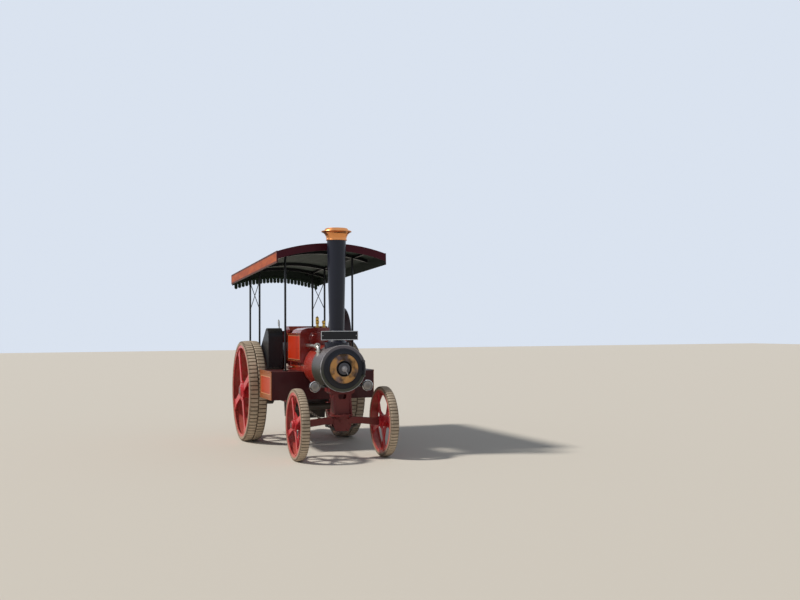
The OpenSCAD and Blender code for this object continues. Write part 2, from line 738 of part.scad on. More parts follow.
module cylinder_block() {
    w = cylinder_w / 2;
    color("#c23018") difference() {
        union() {
            cross_plate(cylinder_front, cylinder_rear) polygon([
                [-w, cladding_bottom], [-w, cladding_side_top], [-w + 26, cylinder_top - 34],
                [-w + 90, cylinder_top - 10], [-120, cylinder_top], [120, cylinder_top],
                [w - 90, cylinder_top - 10], [w - 26, cylinder_top - 34], [w, cladding_side_top],
                [w, cladding_bottom]
            ]);
            // Sheets that carry the sides of the cladding back past the motion
            for (s = [-1, 1])
                box(s > 0 ? w - 6 : -w, s > 0 ? w : 6 - w, cylinder_rear - 1, cover_front - 50,
                    cladding_bottom, cladding_side_top);
            // Cylinder covers in front
            for (x = [-cylinder_gap, cylinder_gap])
                translate([x, cylinder_front + 2, motion_z]) rotate([90, 0, 0]) rotate_extrude($fn=64)
                    polygon([[0, 0], [98, 0], [98, 18], [72, 22], [66, 32], [0, 36]]);
        }
        translate([0, firebox_front, boiler_z]) rotate([90, 0, 0])
            cylinder(r=barrel_r + seat, h=firebox_front - barrel_front, $fn=128);
    }
}

module safety_valves() {
    color("goldenrod") for (x = [-45, 45])
        translate([x, cylinder_front + 160, cylinder_top]) rotate_extrude($fn=48) polygon([
            [0, 0], [30, 0], [30, 8], [19, 14], [17, 52], [24, 62], [24, 88], [14, 98], [0, 100]
        ]);
}

module piston_guides() {
    color("silver") for (x = [-cylinder_gap, cylinder_gap])
        translate([x, cover_front, motion_z]) rotate([90, 0, 0])
            cylinder(d=guide_d, h=cover_front - cylinder_rear, $fn=64);
}

module crank_cover() {
    color("#7a1b1b") difference() {
        side_plate(-horn_in + seat, horn_in - seat) polygon([
            [cover_front + seat, crank_z - 150], [cover_front + seat, crank_z + 90],
            [crank_y - 90, crank_z + 150], [crank_y + 90, crank_z + 150],
            [crank_y + 160, crank_z + 60], [crank_y + 160, crank_z - 150]
        ]);
        translate([-horn_in - 1, crank_y, crank_z]) rotate([0, 90, 0])
            cylinder(d=crank_d + 2 * pass, h=2 * horn_in + 2, $fn=64);
        translate([0, firebox_rear, boiler_z]) rotate([90, 0, 0])
            cylinder(r=horn_in + seat, h=firebox_l + 10, $fn=128);
    }
}

flywheel_x = 500;

module crankshaft() {
    right_end = case_out - case_wall - 11;
    color("silver") translate([-right_end, crank_y, crank_z]) rotate([0, 90, 0])
        cylinder(d=crank_d, h=right_end + flywheel_x + flywheel_w / 2 + 12, $fn=64);
}

module flywheel() {
    r = flywheel_d / 2;
    w = flywheel_w / 2;
    color("#6e1616") translate([flywheel_x, crank_y, crank_z]) rotate([0, 90, 0]) difference() {
        union() {
            rotate_extrude($fn=128) polygon([
                [r - 46, -w + 6], [r - 2, -w], [r, -w + 4], [r, w - 4], [r - 2, w],
                [r - 46, w - 6]
            ]);
            cylinder(d=190, h=flywheel_w - 10, center=true, $fn=64);
            for (i = [0:flywheel_spokes - 1]) rotate([0, 0, i * 360 / flywheel_spokes])
                translate([0, 0, -20]) linear_extrude(40) polygon([
                    [70, -42], [70, 42], [r - 30, 26], [r - 30, -26]
                ]);
        }
        cylinder(d=crank_d + 2 * run, h=flywheel_w + 10, center=true, $fn=64);
    }
}

// Case over the gears between the right hornplate and the right rear wheel
case_in = horn_in + boss_l + 1 + seat;
case_out = rear_track / 2 - rear_tyre_w / 2 - 14;
case_wall = 24;

module gear_case() {
    color("#23262b") difference() {
        side_plate(-case_out, -case_in) polygon(concat(
            [[crank_y - case_crank_r, crank_z - 440]],
            arc(crank_y, crank_z, case_crank_r, 180, 55, 10),
            arc(crank_y + 250, crank_z - 260, case_second_r, 50, 25, 4),
            arc(wheelbase, rear_axle_z, case_axle_r, 40, -160, 20),
            [[crank_y + 100, crank_z - 520]]
        ));
        translate([-case_out + case_wall, crank_y, crank_z]) rotate([0, 90, 0])
            cylinder(d=crank_d + 2 * pass, h=case_out - case_in, $fn=64);
        translate([-case_out - 2, wheelbase, rear_axle_z]) rotate([0, 90, 0])
            cylinder(d=axle_d + 2 * seat, h=case_out - case_in + 4, $fn=64);
    }
}

module exhaust_pipe() {
    // From the cylinder block's front forward, then down through a flange into the smokebox
    x = -exhaust_x;
    z = boiler_z + smokebox_r - 10;
    bend = 60;
    d = exhaust_d;
    flange_d = d + 34;
    flange_t = 14;
    knee_y = barrel_front - 60;
    color("silver") difference() {
        union() {
            translate([x, cylinder_front - seat, z]) rotate([90, 0, 0])
                cylinder(d=d, h=cylinder_front - seat - knee_y - flange_t / 2, $fn=48);
            translate([x, knee_y + flange_t, z]) rotate([90, 0, 0]) cylinder(d=flange_d, h=flange_t, $fn=48);
            translate([x, knee_y, z - bend]) along_x() rotate([0, 0, 89])
                rotate_extrude(angle=92, $fn=64) translate([bend, 0]) circle(d=d, $fn=48);
            translate([x, knee_y - bend, z - bend - flange_t]) cylinder(d=flange_d, h=flange_t, $fn=48);
            translate([x, knee_y - bend, z - bend - 150])
                cylinder(d=d + 8, h=150 - flange_t / 2, $fn=48);
        }
        translate([0, barrel_front + 20, boiler_z]) rotate([90, 0, 0])
            cylinder(r=smokebox_r + seat, h=barrel_front + smokebox_nose, $fn=128);
    }
}

// WATER TANK UNDER THE BOILER

filler_x = 560;

module belly_tank() {
    color("#8c2216") difference() {
        union() {
            box(-tank_w / 2, tank_w / 2, tank_front, tank_rear, tank_bottom, tank_top);
            // Half-round bead along the outer top edges
            for (s = [-1, 1])
                translate([s * (tank_w / 2 - 4), tank_front, tank_top - 2]) rotate([-90, 0, 0])
                    cylinder(d=18, h=tank_rear - tank_front, $fn=32);
            // Filler with its lid on the left side
            translate([filler_x, tank_rear - 250, tank_top]) rotate_extrude($fn=64) polygon([
                [0, -10], [66, -10], [66, 40], [78, 44], [78, 56], [70, 60], [22, 64], [20, 78], [0, 80]
            ]);
        }
        translate([0, firebox_front, boiler_z]) rotate([90, 0, 0])
            cylinder(r=barrel_r + band_out + seat, h=firebox_front - barrel_front, $fn=128);
        // Room for the firebox and hornplates, where the tank reaches back past them
        box(-horn_out - pass, horn_out + pass, firebox_front - pass, firebox_rear,
            tank_bottom - 1, tank_top + 1);
    }
}

// TENDER AND DRAWBAR

module tender() {
    w = tender_w / 2;
    f = tender_front;
    b = tender_rear;
    bunker = b - bunker_l;
    color("#9c2418") difference() {
        union() {
            difference() {
                box(-w, w, f, b, tender_floor, tender_top);
                // Driver's stand, open to the front between the hornplates
                box(-w + plate_t, w - plate_t, f + plate_t, bunker, tender_floor + plate_t, tender_top + 1);
                box(-horn_in, horn_in, f - 1, f + plate_t + 1, tender_floor + plate_t, tender_top + 1);
                // Coal space above the tender's tank
                box(-w + plate_t, w - plate_t, bunker + plate_t, b - plate_t, tender_floor + 380,
                    tender_top + 1);
            }
            // Rolled edge along the top of the sides and the back
            for (s = [-1, 1])
                translate([s * w, f, tender_top]) rotate([-90, 0, 0])
                    cylinder(d=24, h=tender_l, $fn=32);
            translate([-w, b, tender_top]) rotate([0, 90, 0]) cylinder(d=24, h=2 * w, $fn=32);
            // Corner plates that carry the canopy posts
            for (s = [-1, 1], y = [f + 10, b - 90])
                box(s > 0 ? w - 100 : -w, s > 0 ? w : 100 - w, y, y + 80, tender_top - 10, tender_top);
        }
    }
}

drawbar_z = 700;
drawbar_pin_d = 40;

module drawbar() {
    y = tender_rear;
    color("#26241f") difference() {
        union() {
            box(-110, 110, y, y + 24, drawbar_z - 40, drawbar_z + 100);
            for (z = [drawbar_z - 18, drawbar_z + 62])
                translate([0, 0, z - 10]) linear_extrude(20) polygon(concat(
                    [[-80, y + 10]], [[80, y + 10]], arc(0, y + 110, 50, 0, 180, 16)
                ));
        }
        translate([0, y + 110, drawbar_z - 60]) cylinder(d=drawbar_pin_d, h=200, $fn=64);
    }
}

// CANOPY

arch_r = (pow(canopy_w / 2, 2) + pow(canopy_rise, 2)) / (2 * canopy_rise);

// Puts a piece drawn level, with the front corners at zero, onto the canopy
module on_canopy() {
    translate([0, canopy_front, canopy_corner]) rotate([-canopy_slope, 0, 0]) children();
}

// Part of an arched shell: outer radius, inner radius, and its span along the roof
module arch_shell(outer, inner, y0, y1, half) {
    intersection() {
        translate([0, y0, canopy_rise - arch_r]) rotate([-90, 0, 0]) difference() {
            cylinder(r=outer, h=y1 - y0, $fn=256);
            translate([0, 0, -1]) cylinder(r=inner, h=y1 - y0 + 2, $fn=256);
        }
        box(-half, half, y0 - 1, y1 + 1, -300, canopy_rise + 20);
    }
}

module canopy_roof() {
    color("#33302c") on_canopy()
        arch_shell(arch_r, arch_r - canopy_t, 0, canopy_l, canopy_w / 2);
}

module canopy_valance() {
    half = canopy_w / 2;
    color("#a3281a") on_canopy() {
        for (s = [-1, 1])
            box(s > 0 ? half + seat : -half - seat - valance_t,
                s > 0 ? half + seat + valance_t : -half - seat,
                -valance_t, canopy_l + valance_t, 6 - valance_h, 6);
        for (end = [[-valance_t - seat, end_valance_h], [canopy_l + seat, rear_valance_h]])
            arch_shell(arch_r + valance_lip, arch_r - end[1], end[0], end[0] + valance_t, half + seat + 1);
    }
}

module canopy_fringe() {
    // Fringe of round-ended tongues hung inside the rear valance from a band of its own
    n = fringe_tongues;
    pitch = (canopy_w - 60) / n;
    w = pitch - 5;
    t = 6;
    r = arch_r - rear_valance_h;
    color("#1d2a22") on_canopy() {
        arch_shell(r + 34, r - 4, canopy_l - t, canopy_l, canopy_w / 2 - 30);
        for (i = [0:n - 1]) let (
            x = (i - n / 2 + 0.5) * pitch,
            z = canopy_rise - arch_r + sqrt(r * r - x * x)
        )
            translate([x, canopy_l, z]) rotate([90, 0, 0]) linear_extrude(t) {
                translate([-w / 2, w / 2 - fringe_h]) square([w, fringe_h - w / 2 + 12]);
                translate([0, w / 2 - fringe_h]) circle(d=w, $fn=32);
            }
    }
}

// Underside of the canopy at a point, as a height above the ground
function under_canopy(x, y) = canopy_corner - (y - canopy_front) * tan(canopy_slope)
    + canopy_rise - arch_r + sqrt(pow(arch_r - canopy_t, 2) - x * x);

front_post = [front_post_x, front_post_y];
mid_post = [tender_w / 2 - 50, tender_front + 50];
rear_post = [tender_w / 2 - 50, tender_rear - 50];
// Rails along the roof above the tender's posts, as high as the arch leaves room
rail_w = 36;
rail_h = 30;
rail_x = mid_post[0];
rail_top = canopy_rise - arch_r + sqrt(pow(arch_r - canopy_t, 2) - pow(rail_x + rail_w / 2, 2)) - seat;

module canopy_frame() {
    color("#17181b") {
        // Arched cross bows under the boards
        on_canopy() {
            for (y = [front_post[1], mid_post[1], rear_post[1]])
                translate([0, y - canopy_front, 0])
                    arch_shell(arch_r - canopy_t - seat, arch_r - canopy_t - 46, -20, 20,
                        canopy_w / 2 - 30);
            for (s = [-1, 1])
                box(s * rail_x - rail_w / 2, s * rail_x + rail_w / 2, 30, canopy_l - 30,
                    rail_top - rail_h, rail_top);
        }
        for (s = [-1, 1]) {
            for (p = [[front_post, tank_top], [mid_post, tender_top], [rear_post, tender_top]]) {
                translate([s * p[0][0], p[0][1], p[1]])
                    cylinder(d=post_d, h=under_canopy(p[0][0], p[0][1]) - 20 - p[1], $fn=40);
                translate([s * p[0][0], p[0][1], p[1]]) cylinder(d=post_foot_d, h=12, $fn=40);
            }
            // Crossed stays between the two posts on the tender
            for (z = [[stay_low, stay_high], [stay_high, stay_low]])
                bar([s * mid_post[0], mid_post[1], z[0]], [s * rear_post[0], rear_post[1], z[1]], stay_d);
        }
    }
}

// STEERING

drum_r = chain_barrel_d / 2;
chain_r = link_l * 0.24;
chain_gap = 0.5;
drum_z = beam_z + drum_r + chain_r + chain_gap;

barrel_end = chain_x + 45;
hanger_x = barrel_end + 17;
shaft_d = 36;

module chain_hangers() {
    color("#26241f") for (s = [-1, 1]) difference() {
        side_plate(s * hanger_x - 12, s * hanger_x + 12) polygon(concat(
            [[chain_barrel_y - 50, tank_bottom - seat], [chain_barrel_y - 40, drum_z]],
            arc(chain_barrel_y, drum_z, 40, 180, 360, 12),
            [[chain_barrel_y + 50, tank_bottom - seat]]
        ));
        translate([s * hanger_x - 20, chain_barrel_y, drum_z]) rotate([0, 90, 0])
            cylinder(d=shaft_d + 2 * run, h=40, $fn=48);
    }
}

// Places a piece drawn about Z on the chain barrel's axis
module on_barrel(x) {
    translate([x, chain_barrel_y, drum_z]) rotate([0, 90, 0]) children();
}

module chain_barrel() {
    shaft_end = column_x + worm_w / 2 + 8;
    color("#3a3a3c") {
        on_barrel(-hanger_x - 24) cylinder(d=shaft_d, h=hanger_x + 24 + shaft_end, $fn=48);
        on_barrel(-barrel_end) cylinder(d=chain_barrel_d, h=2 * barrel_end, $fn=64);
        // Worm wheel outside the left hanger, and its hub
        on_barrel(column_x - worm_w / 2) linear_extrude(worm_w) worm_wheel_outline();
        on_barrel(hanger_x + 14) cylinder(d=2 * shaft_d, h=shaft_end - hanger_x - 14, $fn=48);
    }
}

worm_w = 26;
worm_tooth = 7;

module worm_wheel_outline() {
    step = 360 / worm_teeth;
    tip = worm_wheel_r;
    root = worm_wheel_r - worm_tooth;
    tooth = [[root, 0], [root, 0.3], [tip, 0.42], [tip, 0.68], [root, 0.8]];
    polygon([for (i = [0:worm_teeth - 1], p = tooth)
        p[0] * [cos((i + p[1]) * step), sin((i + p[1]) * step)]]);
}

// One steering chain from its lug to the point a, which is level with the barrel.
// It runs on past the barrel, and every second link is turned on edge.
module chain(start, a) {
    v = a - start;
    l = norm(v) + 20;
    pitch = link_l - 2 * link_rod_d - seat;
    n = floor((l - link_l) / pitch) + 1;
    translate(start) rotate([atan2(v[2], v[1]), 0, 0])
        for (i = [0:n - 1])
            translate([0, link_l / 2 + i * pitch, 0]) rotate([0, i % 2 * 90, 0]) chain_link(chain_r);
}

// Eight-sided link with a straight eye, square in section
module chain_link(w) {
    l = link_l / 2;
    tip = w / 2;
    translate([0, 0, -link_rod_d / 2]) linear_extrude(link_rod_d) difference() {
        polygon([[w, w - l], [w, l - w], [tip, l], [-tip, l],
            [-w, l - w], [-w, w - l], [-tip, -l], [tip, -l]]);
        square([2 * (w - link_rod_d), 2 * (l - link_rod_d)], center=true);
    }
}

lug_gap = 0.8;
chain_start = beam_t / 2 + lug_l + lug_gap;
chain_rise = atan(2 * (drum_r + chain_r) / (chain_barrel_y - chain_start));

module chain_left() {
    color("#4a4a4c") chain([chain_x, chain_start, beam_z], [chain_x, chain_barrel_y, beam_z]);
}

module chain_right() {
    color("#4a4a4c") chain([-chain_x, chain_start, beam_z],
        [-chain_x, chain_barrel_y, drum_z + (drum_r + chain_r + chain_gap) / cos(chain_rise)]);
}

column_x = horn_out + 39;
handwheel_y = tender_front - 60;
worm_r = 26;
worm_gap = 0.6;

// The column's axis passes the barrel's axis at this distance, behind and below it
worm_off = worm_wheel_r + worm_r + worm_gap;
column_run = [handwheel_y - chain_barrel_y, handwheel_z - drum_z];
column_tilt = atan2(column_run[1], column_run[0]) + asin(worm_off / norm(column_run));
column_l = sqrt(pow(norm(column_run), 2) - pow(worm_off, 2));

// Places a piece drawn about Z on the column, at a distance up from the worm's middle
module on_column(up) {
    translate([column_x, column_point(0)[0], column_point(0)[1]])
        rotate([column_tilt - 90, 0, 0]) translate([0, 0, up]) children();
}

function column_point(up) = [
    chain_barrel_y + worm_off * sin(column_tilt) + up * cos(column_tilt),
    drum_z - worm_off * cos(column_tilt) + up * sin(column_tilt)
];

module steering_column() {
    worm_l = 90;
    ridge = 9;
    foot_up = 140;
    head_up = column_l - 230;
    color("#7a1b1b") {
        on_column(-worm_l / 2 - 16) cylinder(d=34, h=column_l + worm_l / 2 + 16, $fn=32);
        // Worm with V-shaped ridges
        on_column(-worm_l / 2) rotate_extrude($fn=48) polygon(concat(
            [[0, 0]],
            [for (i = [0:ridge - 1], p = [[6, 0.1], [0, 0.4], [0, 0.6], [6, 0.9]])
                [worm_r - p[0], (i + p[1]) * worm_l / ridge]],
            [[0, worm_l]]
        ));
        // Foot bearing on an arm below the tank, and head bearing on the left hornplate
        on_column(foot_up - 24) cylinder(d=62, h=48, $fn=40);
        side_plate(column_x - 12, column_x + 12) polygon([
            column_point(foot_up - 20), [tank_rear - 90, tank_bottom - seat],
            [tank_rear - 10, tank_bottom - seat], column_point(foot_up + 20)
        ]);
        translate([horn_out + seat, column_point(head_up)[0], column_point(head_up)[1]])
            rotate([0, 90, 0]) cylinder(d=56, h=column_x - horn_out + 20, $fn=40);
        // Handwheel square to the rod, with its spinner knob
        on_column(column_l) {
            rotate_extrude($fn=64) translate([handwheel_d / 2 - 12, 0]) circle(d=24, $fn=16);
            cylinder(d=70, h=40, center=true, $fn=32);
            for (i = [0:4]) rotate([90, 0, i * 72]) cylinder(d=18, h=handwheel_d / 2 - 12, $fn=16);
            translate([handwheel_d / 2 - 12, 0, 0]) cylinder(d=22, h=90, $fn=24);
        }
    }
}

lever_pivot = [tender_front - 280, crank_z - 340];
lever_tip = [170, 500];
lever_t = 12;
quadrant_r = 330;

module driver_controls() {
    x = 34 - horn_in;
    color("silver") {
        // Reversing lever, its pivot on the right hornplate, and its notched quadrant
        side_plate(x, x + lever_t) polygon([
            lever_pivot - [16, 0], lever_pivot + [16, 0], lever_pivot + lever_tip + [10, 0],
            lever_pivot + lever_tip - [10, 0]
        ]);
        translate([x + lever_t / 2, lever_pivot[0] + lever_tip[0], lever_pivot[1] + lever_tip[1] - 6])
            rotate([-18, 0, 0]) rotate_extrude($fn=32)
                polygon([[0, 0], [11, 0], [15, 14], [16, 60], [12, 96], [6, 106], [0, 108]]);
        translate([seat - horn_in, lever_pivot[0], lever_pivot[1]]) rotate([0, 90, 0])
            cylinder(d=46, h=56, $fn=32);
        side_plate(x - 14, x - 4) difference() {
            polygon(concat(
                [lever_pivot], arc(lever_pivot[0], lever_pivot[1], quadrant_r, 100, 44, 16)
            ));
            polygon(concat(
                [lever_pivot + [18, 60]],
                arc(lever_pivot[0], lever_pivot[1], quadrant_r - 30, 94, 50, 12)
            ));
            for (a = [50:6:94])
                translate(lever_pivot + quadrant_r * [cos(a), sin(a)]) circle(d=12, $fn=16);
        }
        // Regulator handle on its spindle, out of the back of the firebox
        translate([regulator_x, firebox_rear + seat, regulator_z]) rotate([-90, 0, 0]) {
            cylinder(d=64, h=12, $fn=48);
            cylinder(d=28, h=78, $fn=32);
            translate([0, 0, 56]) rotate([0, 0, -120]) {
                translate([0, -9, 0]) cube([160, 18, 12]);
                translate([150, 0, 6]) rotate([0, 90, 0]) rotate_extrude($fn=32)
                    polygon([[0, -6], [10, -6], [14, 20], [14, 60], [8, 74], [0, 76]]);
            }
        }
    }
}

regulator_x = -60;
regulator_z = boiler_z + 40;

gauge_x = 130;
pump_x = -400;
pump_y = tank_rear - 275;

module boiler_fittings() {
    color("goldenrod") {
        // Gauge glass between two cocks on the back of the firebox
        for (z = [boiler_z - 40, boiler_z + 180])
            translate([gauge_x, firebox_rear + seat, z]) rotate([-90, 0, 0]) cylinder(d=34, h=66, $fn=32);
        translate([gauge_x, firebox_rear + 46, boiler_z - 70]) cylinder(d=26, h=280, $fn=32);
        // Pressure gauge that faces back, on a stalk from the top of the firebox
        difference() {
            union() {
                translate([0, firebox_rear - 50, boiler_z + horn_in - 10]) cylinder(d=22, h=90, $fn=32);
                translate([0, firebox_rear - 70, boiler_z + horn_in + 140]) rotate([-90, 0, 0])
                    rotate_extrude($fn=64) polygon([
                        [0, 0], [70, 0], [78, 8], [78, 36], [72, 42], [66, 36], [0, 36]
                    ]);
            }
            translate([0, firebox_rear, boiler_z]) rotate([90, 0, 0])
                cylinder(r=horn_in + seat, h=firebox_l, $fn=128);
        }
        // Whistle on top of the cylinder block
        translate([0, cylinder_front + 340, cylinder_top + seat]) rotate_extrude($fn=40) polygon([
            [0, 0], [24, 0], [24, 8], [11, 14], [11, 44], [23, 48], [23, 58], [20, 60], [20, 64],
            [23, 66], [23, 138], [14, 150], [6, 152], [5, 164], [0, 164]
        ]);
        // Feed pump on top of the tank, with its pipe to the barrel
        difference() {
            union() {
                translate([pump_x, pump_y, tank_top]) rotate_extrude($fn=48) polygon([
                    [0, 0], [44, 0], [44, 10], [28, 14], [28, 24], [37, 30], [37, 62], [30, 72],
                    [16, 76], [14, 92], [0, 94]
                ]);
                translate([pump_x, pump_y, tank_top + 46]) rotate([0, 90, 0])
                    cylinder(d=22, h=-pump_x, $fn=32);
            }
            translate([0, firebox_front, boiler_z]) rotate([90, 0, 0])
                cylinder(r=barrel_r + seat, h=firebox_front - barrel_front, $fn=128);
        }
        // Clack valve on the left side of the barrel, with its pipe down to the tank
        difference() {
            union() {
                translate([0, cylinder_front + 150, clack_z]) rotate([0, 90, 0])
                    cylinder(d=44, h=clack_x, $fn=32);
                translate([clack_x, cylinder_front + 150, clack_z - 34]) cylinder(d=54, h=68, $fn=40);
                translate([clack_x, cylinder_front + 150, tank_top]) cylinder(d=26, h=40, $fn=32);
            }
            translate([0, firebox_front, boiler_z]) rotate([90, 0, 0])
                cylinder(r=barrel_r + seat, h=firebox_front - barrel_front, $fn=128);
        }
    }
}

clack_x = 350;
clack_z = boiler_z - 10;

engine_frame() boiler_barrel();
engine_frame() smokebox();
engine_frame() smokebox_door();
engine_frame() chimney_barrel();
engine_frame() chimney_cap();
engine_frame() front_plate();
engine_frame() head_lamps();
engine_frame() perch_bracket();
engine_frame() firebox();
engine_frame() fire_door();
engine_frame() ashpan();
engine_frame() hornplates();
engine_frame() cylinder_block();
engine_frame() safety_valves();
engine_frame() piston_guides();
engine_frame() crank_cover();
engine_frame() crankshaft();
engine_frame() flywheel();
engine_frame() gear_case();
engine_frame() exhaust_pipe();
engine_frame() belly_tank();
engine_frame() tender();
engine_frame() drawbar();
engine_frame() rear_axle();
engine_frame() rear_wheel_left();
engine_frame() rear_wheel_right();
engine_frame() rear_tyre_left();
engine_frame() rear_tyre_right();
engine_frame() axle_beam();
engine_frame() front_spring();
engine_frame() front_wheel_left();
engine_frame() front_wheel_right();
engine_frame() front_tyre_left();
engine_frame() front_tyre_right();
engine_frame() canopy_roof();
engine_frame() canopy_valance();
engine_frame() canopy_fringe();
engine_frame() canopy_frame();
engine_frame() chain_hangers();
engine_frame() chain_barrel();
engine_frame() chain_left();
engine_frame() chain_right();
engine_frame() steering_column();
engine_frame() driver_controls();
engine_frame() boiler_fittings();
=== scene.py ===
import json
import math

import bmesh
import bpy
import numpy as np
from mathutils import Matrix, Vector


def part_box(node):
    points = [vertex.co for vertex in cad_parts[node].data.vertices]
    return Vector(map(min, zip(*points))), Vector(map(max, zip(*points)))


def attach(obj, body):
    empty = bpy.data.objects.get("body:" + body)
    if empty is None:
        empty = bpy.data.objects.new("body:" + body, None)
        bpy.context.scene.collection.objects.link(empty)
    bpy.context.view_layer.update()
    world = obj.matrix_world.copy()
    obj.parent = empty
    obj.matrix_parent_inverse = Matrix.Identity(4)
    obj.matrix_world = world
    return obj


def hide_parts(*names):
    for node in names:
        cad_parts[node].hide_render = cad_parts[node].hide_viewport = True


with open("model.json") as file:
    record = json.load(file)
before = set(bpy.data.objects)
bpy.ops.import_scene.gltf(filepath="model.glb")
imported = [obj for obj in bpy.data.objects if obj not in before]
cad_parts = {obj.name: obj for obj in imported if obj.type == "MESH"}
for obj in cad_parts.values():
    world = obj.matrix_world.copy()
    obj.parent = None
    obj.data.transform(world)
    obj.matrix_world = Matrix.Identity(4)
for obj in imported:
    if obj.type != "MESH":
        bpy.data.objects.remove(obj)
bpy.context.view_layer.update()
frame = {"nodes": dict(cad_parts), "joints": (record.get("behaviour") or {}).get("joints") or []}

# CAMERA
# It stands where the photograph was taken from: at eye height, ahead of the engine and off its
# right side, turned 20 degrees towards it. Its distance is counted from the front axle.
axle_y = (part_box("front_tyre_left")[0].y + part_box("front_tyre_left")[1].y) / 2
eye = Vector((-3.369, axle_y - 11.479, 1.676))
heading, pitch, roll = (math.radians(angle) for angle in (-20.019, 1.739, -0.306))
lens_mm = 41.5526
camera = bpy.data.objects.new("camera", bpy.data.cameras.new("camera"))
camera.data.sensor_width = 36
camera.data.lens = lens_mm
camera.data.clip_end = 200
camera.matrix_world = (
    Matrix.Translation(eye) @ Matrix.Rotation(heading, 4, "Z")
    @ Matrix.Rotation(math.pi / 2 + pitch, 4, "X") @ Matrix.Rotation(roll, 4, "Z")
)
bpy.context.scene.collection.objects.link(camera)
bpy.context.scene.camera = camera


# BOILER BARREL
# A steel cylinder under lagging sheets, which three bands with round-headed screws hold. The
# sheets are brushed and varnished bright red, and road dust settles on whatever faces up.


class Wire:
    """A shader socket that Python's operators work on: each operator adds one Math node."""

    def __init__(self, tree, socket):
        self.tree = tree
        self.socket = socket

    def node(self, kind, settings, sockets, out=0):
        """Adds a node: its settings first, then a value or a wire for each named socket."""
        made = self.tree.nodes.new("ShaderNode" + kind)
        for key, value in settings.items():
            setattr(made, key, value)
        for key, value in sockets.items():
            if isinstance(value, Wire):
                self.tree.links.new(value.socket, made.inputs[key])
            elif isinstance(value, tuple) and len(made.inputs[key].default_value) == 4:
                made.inputs[key].default_value = (*value, 1)
            else:
                made.inputs[key].default_value = value
        return Wire(self.tree, made.outputs[out])

    def math(self, operation, *values):
        return self.node("Math", {"operation": operation}, dict(enumerate(values)))

    def __add__(self, other):
        return self.math("ADD", self, other)

    def __sub__(self, other):
        return self.math("SUBTRACT", self, other)

    def __rsub__(self, other):
        return self.math("SUBTRACT", other, self)

    def __mul__(self, other):
        return self.math("MULTIPLY", self, other)

    def __truediv__(self, other):
        return self.math("DIVIDE", self, other)

    def __gt__(self, other):
        return self.math("GREATER_THAN", self, other)

    def __lt__(self, other):
        return self.math("LESS_THAN", self, other)

    def __abs__(self):
        return self.math("ABSOLUTE", self)

    __radd__ = __add__
    __rmul__ = __mul__

    def least(self, *others):
        """The smallest of this value and the others."""
        low = self
        for other in others:
            low = low.math("MINIMUM", low, other)
        return low

    def rise(self, low, high):
        """0 below low, 1 above high and a smooth step between them."""
        return self.node("MapRange", {"interpolation_type": "SMOOTHSTEP"},
                         {"Value": self, "From Min": low, "From Max": high})

    def between(self, low, high):
        """1 from low to high, and 0 outside."""
        return (self > low) * (self < high)

    def wave(self, length):
        """A sine of this place with the given length of wave, from -1 to 1."""
        return self.math("SINE", self * (2 * math.pi / length))

    def mix(self, first, second):
        """The first colour where this value is 0 and the second where it is 1."""
        return self.node("Mix", {"data_type": "RGBA"}, {0: self, 6: first, 7: second}, out=2)

    def noise(self, scale, detail=3):
        """Cloudy noise of this place, from 0 to 1. The scale is in clouds to the metre."""
        return self.node("TexNoise", {}, {"Vector": self, "Scale": scale, "Detail": detail})

    def scaled(self, x, y, z):
        return self.node("VectorMath", {"operation": "MULTIPLY"}, {0: self, 1: (x, y, z)})


def hue(code):
    """A colour from its six-digit chart code, made linear by the standard screen curve."""
    parts = (int(code[i:i + 2], 16) / 255 for i in (0, 2, 4))
    return tuple(c / 12.92 if c < 0.04045 else ((c + 0.055) / 1.055) ** 2.4 for c in parts)


mm = 0.001
road_dust = hue("a8957c")


class Finish:
    """One material under way: its shader, and the wires that patterns are drawn from.

    x, y and z are the place in metres, and left, back and up are how far the surface faces there.
    """

    def __init__(self, name, **constants):
        self.material = bpy.data.materials.new(name)
        self.material.use_nodes = True
        self.tree = self.material.node_tree
        self.shader = self.tree.nodes["Principled BSDF"]
        start = Wire(self.tree, None)
        self.place = start.node("TexCoord", {}, {}, out="Object")
        self.x, self.y, self.z = (
            self.place.node("SeparateXYZ", {}, {0: self.place}, out=axis) for axis in "XYZ")
        normal = start.node("NewGeometry", {}, {}, out="Normal")
        self.left, self.back, self.up = (
            normal.node("SeparateXYZ", {}, {0: normal}, out=axis) for axis in "XYZ")
        for key, value in constants.items():
            self.shader.inputs[key.replace("_", " ")].default_value = value

    def set(self, socket, value):
        if isinstance(value, Wire):
            self.tree.links.new(value.socket, self.shader.inputs[socket])
        elif isinstance(value, tuple):
            self.shader.inputs[socket].default_value = (*value, 1)
        else:
            self.shader.inputs[socket].default_value = value

    def bump(self, height, depth, strength=1.0):
        """Relief of a depth in millimetres, where the height goes from 0 to 1."""
        self.set("Normal", height.node(
            "Bump", {}, {"Height": height, "Distance": depth * mm, "Strength": strength}))

    def radius(self, up, back=None):
        """Distance from a level axis, whose place is given in millimetres.

        It runs across the engine at a place behind the front axle, or else along the engine's
        middle. The distance is the root of the two squared offsets.
        """
        a = self.x if back is None else self.y - (axle_y + back * mm)
        b = self.z - up * mm
        return a.math("SQRT", a * a + b * b)

    def ahead_of(self, back):
        """1 ahead of a place in millimetres behind the front axle, and 0 behind it."""
        return self.y < (axle_y + back * mm)

    def outward(self):
        """1 on the faces that look away from the middle of the engine, level, and 0 on the rest."""
        return ((self.x * self.left > 0.3) + (self.y * self.back > 0.3)).least(1.0)

    def dust(self, amount):
        """How dusty the surface is: most near the ground and on what faces up, in patches."""
        patches = self.place.noise(4.5, 5).rise(0.35, 0.75) * 0.75 + 0.25
        near_ground = (1 - self.z.rise(0.1, 1.3)) * 0.55
        settled = self.up.rise(0.3, 0.98) * 0.6
        return ((near_ground + settled) * patches * amount).least(0.95)


